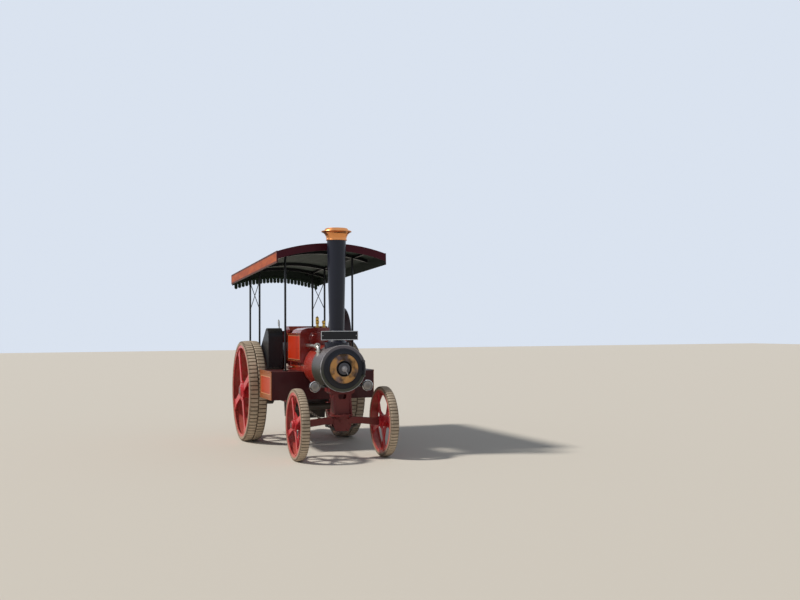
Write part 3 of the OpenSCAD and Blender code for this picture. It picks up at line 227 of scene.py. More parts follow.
def enamel(name, colour, dust=0.35, gloss=0.3, coat=0.5, lined=None, shine=0.4):
    """Brushed enamel: a slightly uneven colour, lined if asked, under dust and a clear varnish."""
    f = Finish(name, Coat_Weight=coat, Coat_Roughness=0.12, Specular_IOR_Level=shine)
    thin = tuple(c * 0.72 for c in colour)
    tone = f.place.noise(2.2, 4).rise(0.25, 0.8).mix(thin, colour)
    if lined:
        tone = lined(f, tone)
    speckle = f.place.noise(85, 2)
    dirt = f.dust(dust) * (speckle * 0.5 + 0.75)
    f.set("Base Color", dirt.mix(tone, road_dust))
    f.set("Roughness", dirt * 0.5 + (gloss + speckle * 0.06))
    f.bump(f.place.noise(14, 2) + speckle * 0.12, 1.2, 0.35)
    return f.material


def dress(node, material):
    """Gives a CAD node its finish."""
    mesh = frame["nodes"][node].data
    mesh.materials.clear()
    mesh.materials.append(material)


def limits(node):
    """Where a CAD node begins and ends, in millimetres.

    One row each for the places to the left, behind the front axle and up, lowest first.
    """
    corners = np.array([list(corner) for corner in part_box(node)]) - (0, axle_y, 0)
    return (corners / mm).T.round(1)


def pivot(joint):
    """Where a joint turns, in millimetres to the left, behind the front axle and up."""
    place = next(row["pos_m"] for row in frame["joints"] if row["name"] == joint)
    return ((np.array(place) - (0, axle_y, 0)) / mm).round(1)


def at(x, back, up):
    """A place in metres, from millimetres to the left, behind the front axle and up."""
    x, back, up = np.broadcast_arrays(x, back, up)
    return np.stack([x * mm, axle_y + back * mm, up * mm], -1)


def around(count, radius, middle, axis="y", start=0.0):
    """Places evenly spaced on a circle about one middle or several, and the way that each lies.

    The angle of a place is its number, plus the start, times a full turn over the count. The
    radius is in millimetres.
    """
    turn = (np.arange(count) + start) * 2 * math.pi / count
    c, s, none = np.cos(turn), np.sin(turn), np.zeros(count)
    ways = np.stack({"x": (none, c, s), "y": (c, none, s), "z": (c, s, none)}[axis], -1)
    middles = np.atleast_2d(middle)[:, None]
    return (middles + radius * mm * ways).reshape(-1, 3), np.tile(ways, (len(middles), 1))


def surface(name, rows, rounded=False, looped=False, capped=False, sharp=35):
    """A mesh through a grid of points in rows, or through many such grids at once.

    Each four neighbours make one face. rounded joins the two ends of every row, looped joins the
    last row to the first, and capped closes the end rows. Edges over the sharp angle stay crisp.
    Doubles are merged, and the faces are turned outwards.
    """
    m, n = rows.shape[-3:-1]
    index = np.arange(m * n).reshape(m, n)
    left, right = (index, np.roll(index, -1, 1)) if rounded else (index[:, :-1], index[:, 1:])
    if looped:
        corners = (left, right, np.roll(right, -1, 0), np.roll(left, -1, 0))
    else:
        corners = (left[:-1], right[:-1], right[1:], left[1:])
    start = np.arange(rows.size // (3 * m * n))[:, None, None] * (m * n)
    faces = (np.stack(corners, -1).reshape(-1, 4) + start).reshape(-1, 4).tolist()
    if capped:
        faces += (index[[0, -1]] + start).reshape(-1, n).tolist()
    mesh = bpy.data.meshes.new(name)
    mesh.from_pydata(rows.reshape(-1, 3).tolist(), [], faces)
    work = bmesh.new()
    work.from_mesh(mesh)
    bmesh.ops.remove_doubles(work, verts=work.verts, dist=1e-6)
    bmesh.ops.recalc_face_normals(work, faces=work.faces)
    work.to_mesh(mesh)
    work.free()
    mesh.shade_smooth()
    mesh.set_sharp_from_angle(angle=math.radians(sharp))
    return mesh


def fit(mesh, material, body="engine", replaces=()):
    """Puts a mesh into the scene as a piece that rides on a body."""
    obj = bpy.data.objects.new(mesh.name, mesh)
    bpy.context.scene.collection.objects.link(obj)
    mesh.materials.append(material)
    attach(obj, body)
    if replaces:
        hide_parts(*replaces)
    return obj


def heads(name, places, facing, outline, sides=8, sharp=50):
    """Many small turned heads in one mesh, such as rivets and bolts.

    Each head is its outline (radius, height), in millimetres, turned about the way that it faces:
    a corner lies at its place, plus the radius times the cosine and the sine of the turn along
    two directions square to that way, plus the height along it.
    """
    places = np.asarray(places, float).reshape(-1, 3)
    out = np.broadcast_to(np.asarray(facing, float).reshape(-1, 3), places.shape)
    out = out / np.linalg.norm(out, axis=1, keepdims=True)
    first = np.cross(np.where(np.abs(out[:, 2:]) > 0.9, (1.0, 0, 0), (0, 0, 1.0)), out)
    first /= np.linalg.norm(first, axis=1, keepdims=True)
    second = np.cross(out, first)
    radius, height = np.array(outline).T * mm
    turn = np.arange(sides)[:, None] * 2 * math.pi / sides
    ring = np.cos(turn) * first[:, None] + np.sin(turn) * second[:, None]
    points = (places[:, None, None] + radius[:, None, None] * ring[:, None]
              + height[:, None, None] * out[:, None, None])
    return surface(name, points, rounded=True, capped=True, sharp=sharp)


# Outlines of the heads: a small screw, a rivet, and a bolt for six sides.
screw = [(6, -1), (6, 1.2), (4.5, 2.6), (1.5, 3.2)]
rivet = [(8.5, -1), (8.5, 1), (7, 4), (3.5, 6.2), (1.2, 6.6)]
bolt = [(11.5, -1), (11.5, 6), (9.8, 7.8), (3, 7.8)]

boiler_up = pivot("smokebox_door_hinge")[2]
band_r = limits("boiler_barrel")[0, 1]
block_front, block_rear = limits("cylinder_block")[1]
band_backs = (limits("boiler_barrel")[1, 0] + 30, block_front - 26, block_rear - 10)
boiler_red = enamel("boiler_red", hue("b83422"), dust=0.2, gloss=0.24, coat=0.8)
dress("boiler_barrel", boiler_red)
band_screws = around(24, band_r, at(0, band_backs, boiler_up))
fit(heads("boiler_band_screws", *band_screws, screw), boiler_red)


# FIREBOX, FIRE DOOR AND ASHPAN
# The firebox is a round-topped steel box in the same red sheets, riveted round its back. Its door
# and the ashpan under it are black iron that the heat keeps dry and a little rusty.


def black_iron(name, colour, rust=0.3, rough=0.55, dust=0.35, lined=None):
    """Bare or blacked iron: uneven, with rust in patches and dust on top."""
    f = Finish(name, Metallic=0.3, Specular_IOR_Level=0.3)
    rusty = f.place.noise(9, 6).rise(0.55, 0.72) * rust
    tone = rusty.mix(colour, hue("5a3624"))
    if lined:
        tone = lined(f, tone)
    dirt = f.dust(dust)
    f.set("Base Color", dirt.mix(tone, road_dust))
    f.set("Roughness", rusty * 0.3 + (rough + dirt * 0.2))
    f.bump(f.place.noise(120, 4), 1.2, 0.5)
    return f.material


def metal(name, colour, tarnish, rough=0.25, stretch=(1, 1, 1)):
    """Polished metal with fine scratches along one way and patches of tarnish."""
    f = Finish(name, Metallic=1.0)
    scratch = f.place.scaled(*stretch).noise(90, 3)
    stain = f.place.noise(7, 5).rise(0.42, 0.72) * 0.4
    f.set("Base Color", stain.mix(colour, tarnish))
    f.set("Roughness", stain * 0.3 + (scratch * 0.12 + (rough - 0.06)))
    f.bump(scratch, 0.6, 0.3)
    return f.material


def spaced(first, last, pitch):
    """Even steps from first to last, as near to the pitch as they go."""
    return np.linspace(first, last, round(abs(last - first) / pitch) + 1)


tank_floor = limits("belly_tank")[2, 0]


def shaded_foot(f, tone):
    """Painted shade: below the tank's floor, where shade falls under the tank, the red is painted near
    black.
    """
    return (f.z < tank_floor * mm).mix(tone, hue("221b1b"))


iron = black_iron("black_iron", hue("26252a"))
# The firebox's red carries painted shade: it is near black below the tank's floor.
firebox_red = enamel("firebox_red", hue("b83422"), dust=0.2, gloss=0.24, coat=0.8, lined=shaded_foot)
dress("firebox", firebox_red)
dress("fire_door", iron)
dress("ashpan", iron)

box_half, box_front, box_foot = limits("firebox")[0, 1], limits("firebox")[1, 0], limits("firebox")[2, 0]
backhead = limits("fire_door")[1, 0] - 2
seam_x = box_half - 22
arch = around(40, seam_x, at(0, backhead, boiler_up))[0][:21]
legs = [at(x, backhead, spaced(box_foot + 40, boiler_up - 30, 42)) for x in (-seam_x, seam_x)]
fit(heads("backhead_rivets", np.concatenate([arch, *legs]), (0, 1, 0), rivet), firebox_red)

plug_x, plug_ups = box_half - 100, (box_foot + 90, boiler_up + 170)
plugs = [at(x, backhead, plug_up) for x in (-plug_x, plug_x) for plug_up in plug_ups]
plug = [(30, -1), (30, 8), (16, 10), (16, 26), (4, 28)]
plug_brass = metal("plug_brass", hue("c9a04e"), hue("7d6032"), rough=0.3)
fit(heads("washout_plugs", plugs, (0, 1, 0), plug, 16), plug_brass)

hinge_x, hinge_back, hinge_up = pivot("fire_door_hinge")
door_face = hinge_back - 2
straps = [at(hinge_x - run, door_face, hinge_up + off) for run in (58, 128) for off in (-50, 50)]
fit(heads("fire_door_bolts", straps, (0, 1, 0), bolt, 6), iron, "fire_door_body")


# SMOKEBOX
# A drum of rolled plate with a stepped ring in front, riveted round both ends. It is painted with
# heat-proof black gone olive under dust; a painted highlight greys its top and whitens the ring's edge.
ring_r = limits("smokebox")[0, 1]
drum_r = ring_r - 7.2
drum_seams = (-22, limits("smokebox")[1, 1] - 28)


def smokebox_highlights(f, tone):
    """Painted highlights: greyer towards the top, and near white in patches on the ring's front edge."""
    # Painted highlight: near white in patches on the ring's outer front edge, and grey over the top.
    glint_patches = f.place.noise(13, 4).rise(0.25, 0.6)
    edge = (f.radius(boiler_up) > (ring_r - 4.5) * mm) * f.ahead_of(-88) * glint_patches
    return edge.mix((f.z.rise(1.05, 1.4) * 0.8).mix(tone, hue("736d74")), hue("c4c2c4"))


smoke_grey = black_iron("smokebox_paint", hue("44463c"), rust=0.12, rough=0.36, lined=smokebox_highlights)
dress("smokebox", smoke_grey)
fit(heads("smokebox_rivets", *around(56, drum_r, at(0, drum_seams, boiler_up)), rivet), smoke_grey)


# SMOKEBOX DOOR
# A dished iron door, painted dark blue-black, round a grey boss with a bright handle. A ring of
# spun brass is screwed to it, reeded all round and mottled by heat.
boss_r = 84
handle_back = -150
ring_in, ring_out = 101, 190
face_in, face_out = -138, -133


def door_paint(f, tone):
    """The boss is grey, and the handle in front of it is bare."""
    boss = f.radius(boiler_up) < boss_r * mm
    return (boss * f.ahead_of(handle_back)).mix(boss.mix(tone, hue("55545a")), hue("a5a3a6"))


dress("smokebox_door", enamel("door_paint", hue("191a24"), dust=0.15, gloss=0.4, coat=0.1,
                              shine=0.25, lined=door_paint))


def door_reeds(count):
    """Radial reeds on the door's ring: each is a low ridge, narrower towards the middle.

    The parameters are the place along the ridge and the place across it. The height falls from
    the crown to nothing at both edges, and follows the slope of the ring.
    """
    radius = np.array([ring_in + 6, ring_in + 9, ring_out - 8, ring_out - 5])[:, None]
    full = np.array([0.0, 1.0, 1.0, 0.0])[:, None]
    across = np.array([-0.42, -0.26, 0.26, 0.42])
    crown = np.array([0.0, 1.0, 1.0, 0.0])
    turn = (np.arange(count)[:, None, None] + across * (0.7 + 0.3 * full)) * 2 * math.pi / count
    face = np.interp(radius, (ring_in, ring_out), (face_in, face_out))
    front = face - (0.4 + 4.6 * full * crown)
    points = at(radius * np.sin(turn), front, boiler_up + radius * np.cos(turn))
    return surface("door_reeds", points, sharp=50)


def heated_brass():
    """Brass in three tones: gold, burnt brown in clouds, and a grey bloom over some of both."""
    f = Finish("door_brass", Metallic=0.85)
    burnt = f.place.noise(9, 5).rise(0.38, 0.62)
    bloom = f.place.scaled(1, 1, -1).noise(6, 4).rise(0.5, 0.68) * 0.8
    f.set("Base Color", bloom.mix(burnt.mix(hue("b98a55"), hue("4e3d2c")), hue("6c626c")))
    f.set("Roughness", burnt * 0.2 + 0.3)
    f.bump(f.place.noise(90, 3), 0.6, 0.3)
    return f.material


door_brass = heated_brass()
band = [(ring_in + 1.5, 0), (ring_in + 1.5, 5.2), (ring_in + 4, 6.2), (ring_out - 3, 1.6),
        (ring_out - 1, 0)]
fit(heads("door_ring", at(0, face_out - 1, boiler_up), (0, -1, 0), band, 96, 30), door_brass,
    "smokebox_door_body")
fit(door_reeds(44), door_brass, "smokebox_door_body")


# CHIMNEY
# A rolled barrel, lapped and riveted down the back, on a flared cast foot that is bolted down. It
# is dark blue-black, painted a lighter blue as sky light where it faces up, with a spun copper cap.
stack_back = limits("chimney_barrel")[1].mean()
stack_r, stack_ups = (98, 125), (1651, limits("chimney_cap")[2, 0])
collar_r, collar_up = 109.5, 1628
foot_r, foot_up = limits("chimney_barrel")[0, 1], 1487.5
cap_r = 134.8


def stack_sky_sheen(f, tone):
    """Painted sky light: a lighter blue on whatever faces up."""
    return f.up.rise(-0.2, 0.9).mix(tone, hue("222432"))


chimney_black = enamel("chimney_paint", hue("111424"), dust=0.1, gloss=0.34, coat=0.15,
                       lined=stack_sky_sheen, shine=0.3)
dress("chimney_barrel", chimney_black)
copper = metal("copper", hue("e89c62"), hue("94593a"), rough=0.22, stretch=(0.15, 0.15, 1))
dress("chimney_cap", copper)

lap_up = spaced(stack_ups[0] + 39, stack_ups[1] - 30, 46)
lap_back = stack_back + np.interp(lap_up, stack_ups, stack_r) - 0.5
fit(heads("chimney_seam_rivets", at(0, lap_back, lap_up), (0, 1, 0), rivet), chimney_black)
collar = around(14, collar_r, at(0, stack_back, collar_up), "z")
fit(heads("chimney_collar_bolts", *collar, bolt, 6), chimney_black)
foot = around(12, foot_r - 12, at(0, stack_back, foot_up), "z", 0.5)[0]
fit(heads("chimney_foot_bolts", foot, (0, 0, 1), bolt, 6), chimney_black)
cap_edge = around(20, cap_r, at(0, stack_back, stack_ups[1] + 7), "z")
fit(heads("chimney_cap_rivets", *cap_edge, screw), copper)


# FRONT PLATE
# A blank plate of sheet steel, painted black, that two arms hold up ahead of the chimney's foot. It
# has a pressed silver edge, and a screw near each end.
plate_half, plate_front = limits("front_plate")[0, 1], limits("front_plate")[1, 0]
plate_low, plate_high = limits("front_plate")[2]
plate_up = (plate_low + plate_high) / 2
plate_black = enamel("plate_black", hue("101012"), dust=0.1, gloss=0.3, coat=0.2, shine=0.25)
dress("front_plate", plate_black)
silver = metal("plate_silver", hue("c9c8c6"), hue("77756f"), rough=0.3)


def plate_edge():
    """A low bead round the plate: its section (inset, height) at each of the four corners."""
    section = [(0.5, -0.5), (0.5, 2.5), (2, 4), (7, 4), (8.5, 2.5), (8.5, -0.5)]
    inset, height = np.array(section)[:, :, None].transpose(1, 0, 2)
    x = np.array([-1, 1, 1, -1]) * (plate_half - inset)
    up = plate_up + np.array([-1, -1, 1, 1]) * ((plate_high - plate_low) / 2 - inset)
    return surface("front_plate_edge", at(x, plate_front - height, up), rounded=True, looped=True)


fit(plate_edge(), silver)
plate_ends = [at(x, plate_front, plate_up) for x in (25 - plate_half, plate_half - 25)]
fit(heads("front_plate_screws", plate_ends, (0, -1, 0), screw), silver)


# PERCH BRACKET, FRONT AXLE AND SPRING
# The riveted bracket under the smokebox carries the kingpin. It and the forged axle are dark red,
# and the leaf spring below the beam is oily steel.
perch_front = -50
perch_foot = limits("perch_bracket")[2, 0] + 20
foot_bolts_r = 135
web_x, web_ups = 99, spaced(600, 790, 38)
lip_xs, lip_up = spaced(70, 150, 40), 848
chassis_red = enamel("chassis_red", hue("701c1e"), dust=0.18, gloss=0.4, coat=0.15, shine=0.25)
dress("perch_bracket", chassis_red)
dress("axle_beam", chassis_red)
dress("front_spring", black_iron("spring_steel", hue("2b2a2c"), rust=0.4))

bracket = [at(x, perch_front, web_ups) for x in (-web_x, web_x)]
bracket += [at(lip_xs * side, perch_front - 2, lip_up) for side in (-1, 1)]
fit(heads("perch_rivets", np.concatenate(bracket), (0, -1, 0), rivet), chassis_red)
king_foot = around(10, foot_bolts_r, at(0, 0, perch_foot), "z", 0.5)[0]
fit(heads("perch_foot_bolts", king_foot, (0, 0, 1), bolt, 6), chassis_red)
# Bolts in pairs on the axle's cheeks: half the distance between the two, and their height.
cheek_pairs = [(98, 515), (98, 450), (60, 378)]
cheeks = [at(x * side, perch_front, up) for x, up in cheek_pairs for side in (-1, 1)]
fit(heads("axle_cheek_bolts", cheeks, (0, -1, 0), bolt, 6), chassis_red, "forecarriage")


# WHEELS
# Forged rims with flanges turned in, flat spokes riveted in two rows, and cast hubs with bolted
# flanges, all red, with dust rubbed into the rims and grease round the hubs.
wheel_red = hue("cc222e")


def wheel_paint(node, centre):
    """Wheel red, with more dust towards the rim and grease within an eighth of the way out."""
    reach = (limits(node)[2, 1] - centre[2]) * mm

    def worn(f, tone):
        r = f.radius(centre[2], centre[1])
        rim = r.rise(reach * 0.8, reach) * (f.place.noise(16, 6).rise(0.3, 0.7) * 0.24 + 0.14)
        grease = (1 - r.rise(reach * 0.06, reach * 0.13)) * 0.8
        return grease.mix(rim.mix(tone, road_dust), hue("2c2624"))

    return enamel(node + "_paint", wheel_red, dust=0.12, gloss=0.36, coat=0.2, shine=0.3, lined=worn)


# One row for each size of wheel, in millimetres from its middle: radius of the spokes' rivets and
# half the width of the rim, radius and half the width of the hub's flanges, radius and place of
# the cap's bolts. spread is half the angle between a spoke's outer rivets, in degrees.
spoke_count = 8
wheel_sizes = {
    "front": dict(foot_r=387, rim=52.5, flange_r=78, flange=42.5, cap_r=34, cap=84.5, spread=6.448),
    "rear": dict(foot_r=657, rim=124, flange_r=130, flange=114, cap_r=50, cap=143.5, spread=7.192),
}
cap_bolt = [(8, -3), (8, 2), (6.6, 3), (2, 3)]


def wheel_rivets(centre, size, side):
    """Four rivets in a row at each spoke's foot and 16 round the hub, on both sides of a wheel.

    Returns their places and the ways that they face.
    """
    row = np.array([-1, -0.34, 0.34, 1]) * size["spread"]
    turn = np.radians((np.arange(spoke_count)[:, None] + 0.5) * 360 / spoke_count + row).ravel()
    x, back, up = centre
    places, ways = [], []
    for face in (-1, 1):
        places.append(at(x + face * side * size["rim"], back + size["foot_r"] * np.cos(turn),
                         up + size["foot_r"] * np.sin(turn)))
        hub = at(x + face * side * size["flange"], back, up)
        places.append(around(16, size["flange_r"], hub, "x")[0])
        ways.append(np.tile((face * side, 0, 0), (turn.size + 16, 1)))
    return np.concatenate(places), np.concatenate(ways)


for place, size in wheel_sizes.items():
    for end, side in (("left", 1), ("right", -1)):
        node = f"{place}_wheel_{end}"
        body = f"{place}_wheel_{end[0]}"
        centre = pivot(f"{place}_{end}_wheel")
        paint = wheel_paint(node, centre)
        dress(node, paint)
        fit(heads(node + "_rivets", *wheel_rivets(centre, size, side), rivet), paint, body)
        cap = around(6, size["cap_r"], at(centre[0] + side * size["cap"], *centre[1:]), "x")[0]
        fit(heads(node + "_cap_bolts", cap, (side, 0, 0), cap_bolt, 6), paint, body)


# TYRES
# Solid rubber moulded onto the rims, with slots across the tread: one row on a front tyre, and on
# a rear tyre two staggered rows with a groove between them. Pale dust covers the tread; the slots
# and a band of the walls below it are darkened as painted shade.
slot_depth = 12


def tread(name, outline, slotted, count, centre, side, skew):
    """A tyre: its outline (radius, place across) is carried round the axle.

    The parameters are the outline's point and the angle. At each angle inside a slot, the points
    that are marked as slotted drop by the slot's depth. skew shifts the slots of one half of the
    tread by a share of their pitch.
    """
    radius, across = outline.T
    pitch = 2 * math.pi / count
    edges = np.array([0.0, 0.18, 0.36, 0.54, 0.70, 0.76, 0.94])
    down = np.array([0.0, 0.0, 0.0, 0.0, 0.0, 1.0, 1.0])
    turn = (np.arange(count)[:, None] + edges).ravel()[:, None] * pitch
    turn = turn + np.sign(across) * skew * pitch
    r = radius - np.tile(down, count)[:, None] * slotted * slot_depth
    points = at(centre[0] + side * across, centre[1] + r * np.cos(turn), centre[2] + r * np.sin(turn))
    return surface(name, points, rounded=True, looped=True, sharp=30)


def tyre_rubber(name, centre, reach):
    """Pale dust on the tread's lands, darker walls, and painted shade in the slots and on a band of the
    walls under the tread.
    """
    f = Finish(name)
    r = f.radius(centre[2], centre[1])
    land = r.rise((reach - 11.5) * mm, (reach - 4) * mm)
    cloud = f.place.noise(6, 5).rise(0.3, 0.75)
    wall = cloud.mix(hue("8f7c69"), hue("a8927c"))
    top = cloud.mix(hue("b3a18b"), hue("c9b7a0"))
    # Painted shade: the slots, and a band of the walls under the tread, are darkened towards dark brown.
    slot_shade = r.between((reach - 30) * mm, (reach - 6) * mm) * 0.5
    tone = land.mix(slot_shade.mix(wall, hue("4a4037")), top)
    f.set("Base Color", (f.place.noise(160, 2).rise(0.4, 0.7) * 0.3).mix(tone, hue("6e6252")))
    f.set("Roughness", 0.88)
    f.bump(f.place.noise(300, 3), 1, 0.5)
    return f.material


def tyre_outline(reach, half, deep, shoulder, crown, groove):
    """Quarter-round shoulders and a crowned tread, from the inner wall round to the inner wall.

    The tread falls towards its edges by the crown times the square of the share of the way out.
    Returns the points and, for each, how much of the slots' depth cuts it.
    """
    bend = np.linspace(0, math.pi / 2, 5)
    wall = np.array([(reach - deep, half), (reach - deep * 0.6, half)])
    round_edge = np.stack([reach - shoulder * (1 - np.sin(bend)), half - shoulder * (1 - np.cos(bend))], -1)
    if groove:
        inner = [(reach, half / 2), (reach, groove + 6), (reach - 6, groove), (reach - deep * 0.5, groove)]
        cut = np.array([0, 0, 0.2, 0.6, 1, 1, 1, 1, 1, 0.8, 0])
    else:
        inner = [(reach, half / 2), (reach, 4)]
        cut = np.array([0, 0, 0.2, 0.6, 1, 1, 1, 1, 1])
    one = np.concatenate([wall, round_edge, inner])
    one[1:, 0] -= crown * (one[1:, 1] / half) ** 2
    return np.concatenate([one, one[::-1] * (1, -1)]), np.append(cut, cut[::-1])


# One row for each size of tyre: number of slots and their skew, then in millimetres its depth, the
# radius of its shoulders, the fall of its crown and half the width of its groove.
tyre_sizes = {
    "front": dict(slots=66, skew=0, deep=46, shoulder=18, crown=6, groove=0),
    "rear": dict(slots=76, skew=0.25, deep=62, shoulder=22, crown=9, groove=7),
}
for end, side in (("left", 1), ("right", -1)):
    for place, size in tyre_sizes.items():
        node = f"{place}_tyre_{end}"
        bounds = limits(node)
        centre = bounds.mean(1)
        reach, half = bounds[2, 1] - centre[2], bounds[0, 1] - centre[0]
        outline, slotted = tyre_outline(reach, half, size["deep"], size["shoulder"], size["crown"],
                                        size["groove"])
        mesh = tread(f"{place}_tread_{end}", outline, slotted, size["slots"], centre, side, size["skew"])
        rubber = tyre_rubber(node + "_rubber", centre, reach)
        fit(mesh, rubber, f"{place}_wheel_{end[0]}", [node])


# HORNPLATES AND REAR AXLE
# The firebox sides run up and back as thick plates that hold the shafts. Stays cross the firebox
# and end in rows of heads on the plates.
horn_x = box_half + 16
boss_x = limits("hornplates")[0, 1]
crank, rear_axle = pivot("crank_turn"), pivot("rear_left_wheel")
crank_bolts_r, axle_bolts_r = 68, 82
dress("hornplates", chassis_red)
steel = metal("bright_steel", hue("aeaba5"), hue("5f594f"), rough=0.32)
dress("rear_axle", steel)


def both_sides(places):
    """Places on the engine's left and the same on its right, and the ways outwards from them."""
    places = np.concatenate(places).reshape(-1, 3)
    right = (-1, 1, 1)
    return np.concatenate([places, places * right]), np.repeat([[1, 0, 0], [-1, 0, 0]], len(places), 0)


stay_backs, stay_ups = np.meshgrid(spaced(box_front + 50, backhead - 60, 90),
                                   spaced(box_foot + 50, boiler_up - 30, 96))
fit(heads("stay_heads", *both_sides([at(horn_x, stay_backs.ravel(), stay_ups.ravel())]), rivet),
    chassis_red)
bearings = np.concatenate([around(6, crank_bolts_r, at(boss_x, *crank[1:]), "x", 0.5)[0],
                           around(8, axle_bolts_r, at(boss_x, *rear_axle[1:]), "x", 0.5)[0]])
fit(heads("bearing_bolts", bearings, (1, 0, 0), bolt, 6), chassis_red)


# CYLINDERS AND CRANK
# A cast block under sheet steel, screwed on, with an orange-red panel in a maroon frame on each
# side and a darker red, as painted shade, on its front. Its front covers are studded, and the valves
# on top are brass. Bright guides and the crank lie behind it under a red cover.
gold_line = hue("d9b483")
block_half = limits("cylinder_block")[0, 1]
block_low, block_top = limits("cylinder_block")[2]
side_front, side_rear, side_top = block_front + 34, block_rear + 16, block_top - 75


def frame_line(edge, border, ground, width, line=gold_line, thick=5):
    """A border out to a width in millimetres from a panel's edge, then a line, then the ground."""
    drawn = edge.between(width * mm, (width + thick) * mm)
    return drawn.mix((edge > width * mm).mix(border, ground), line)


def on_side(f, half, skin=4):
    """1 on the level faces within a skin's thickness of the sides, half a width from the middle."""
    return f.outward() * (abs(f.x) > (half - skin) * mm)


def cylinder_lines(f, tone):
    """Frame, line and panel on both sides, measured in from the edges of the side sheets."""
    along = (f.y - (axle_y + side_front * mm)).least((axle_y + side_rear * mm) - f.y)
    edge = along.least(f.z - block_low * mm, side_top * mm - f.z)
    return on_side(f, block_half).mix(tone, frame_line(edge, hue("76180f"), hue("d63a16"), 36))


# Painted shade: the cladding's red off the side panels, on the front most of all, is darker.
cladding_red = enamel("cladding_red", hue("8c2015"), dust=0.15, gloss=0.24, coat=0.7, lined=cylinder_lines)
dress("cylinder_block", cladding_red)
brass = metal("brass", hue("c7a04e"), hue("6f5730"), rough=0.26)
dress("safety_valves", brass)
dress("piston_guides", steel)
dress("crank_cover", enamel("cover_red", hue("7a1d19"), dust=0.25))
dress("crankshaft", steel)

bore_x, bore_up, stud_r = 110, 1540, 85
covers = around(10, stud_r, at((-bore_x, bore_x), block_front + 18, bore_up), "y", 0.5)[0]
fit(heads("cylinder_cover_studs", covers, (0, -1, 0), bolt, 6), cladding_red)
sheet_rows = [at(block_half, spaced(side_front + 18, block_rear - 18, 102), up)
              for up in (block_low + 18, side_top - 17)]
fit(heads("cladding_screws", *both_sides(sheet_rows), screw), brass)


# FLYWHEEL
# It is cast in one piece with six tapered spokes, and keyed to the crankshaft's left end. It is
# red, painted dark as painted shade, with a thin line round the rim.
flywheel_r = limits("flywheel")[2, 1] - crank[2]


def flywheel_line(f, tone):
    """The line is 6 millimetres wide, and lies 56 millimetres in from the rim."""
    r = f.radius(crank[2], crank[1])
    return r.between((flywheel_r - 62) * mm, (flywheel_r - 56) * mm).mix(tone, gold_line)


# Painted shade: the flywheel's red is painted a near-black maroon.
dress("flywheel", enamel("flywheel_paint", hue("33151a"), dust=0.1, gloss=0.36, coat=0.2,
                         shine=0.25, lined=flywheel_line))


# GEAR CASE AND EXHAUST PIPE
# Sheet steel over the gear train, satin black, with bolts along its edge. The exhaust pipe is
# bright steel with bolted flanges.
case_face = limits("gear_case")[0, 0]
pipe_x, pipe_up = limits("exhaust_pipe")[0].mean(), 1445
flange_faces, flange_bolts_r = (320, 334), 32.5
countershaft = (2050, 1300)
case_black = enamel("case_black", hue("15171b"), dust=0.2, gloss=0.45, coat=0.1, shine=0.25)
dress("gear_case", case_black)
pipe_steel = metal("pipe_steel", hue("cfcac0"), hue("857c6d"), rough=0.28)
dress("exhaust_pipe", pipe_steel)


def arc_bolts(back, up, radius, first, last, count):
    """Bolts on an arc about a shaft, from the first angle to the last, in degrees."""
    turn = np.radians(np.linspace(first, last, count))
    return at(case_face, back + radius * np.cos(turn), up + radius * np.sin(turn))


# The case's edge goes round three shafts: the crankshaft, the countershaft and the axle.
case_edge = np.concatenate([
    arc_bolts(*crank[1:], radius=107, first=180, last=60, count=5),
    arc_bolts(*countershaft, radius=172, first=48, last=30, count=2),
    arc_bolts(*rear_axle[1:], radius=192, first=35, last=-155, count=9)])
case_bolt = [(9, -1), (9, 4), (3, 5.5)]
fit(heads("gear_case_bolts", case_edge, (-1, 0, 0), case_bolt, 6), case_black)
flanges = around(6, flange_bolts_r, at(pipe_x, flange_faces, pipe_up), "y", 0.5)[0]
flange_ways = np.repeat([[0, -1, 0], [0, 1, 0]], 6, 0)
flange_bolt = [(6.5, -1), (6.5, 5), (2, 6)]
fit(heads("exhaust_flange_bolts", flanges, flange_ways, flange_bolt, 6), pipe_steel)


# WATER TANK
# Plates riveted to angle iron. The front is a dark maroon that stands for the red in painted shade,
# and each side has an orange-brown frame round an orange panel with a gold line between them.
tank_top = 1089
tank_front, tank_rear = limits("belly_tank")[1]
tank_half = limits("belly_tank")[0, 1] - 5


def tank_lines(f, tone):
    """On both sides: a brown frame, a gold line, a panel and a dark line inside it."""
    height = (f.z - tank_floor * mm).least(tank_top * mm - f.z)
    edge = height.least(f.y - (axle_y + tank_front * mm), (axle_y + tank_rear * mm) - f.y)
    brown = f.place.noise(5, 3).mix(hue("874620"), hue("9f5a2c"))
    lined = frame_line(edge, brown, hue("b23c18"), 70)
    inner = edge.between(92 * mm, 95 * mm)
    return on_side(f, tank_half, 7).mix(tone, inner.mix(lined, hue("54200f")))


# Painted shade: the tank's faces off its sides, the front among them, are a dark maroon.
tank_red = enamel("tank_red", hue("47131a"), dust=0.12, gloss=0.4, coat=0.12, shine=0.2, lined=tank_lines)
dress("belly_tank", tank_red)


def plate_rows(ends, levels, pitch, posts):
    """Screw places on an upright plate: level rows between its ends, and posts at both ends.

    Returns the places along the plate and their heights.
    """
    rows = [(spaced(*ends, pitch), level) for level in levels] + [(end, posts) for end in ends]
    return np.concatenate([np.stack(np.broadcast_arrays(*row)) for row in rows], axis=1)


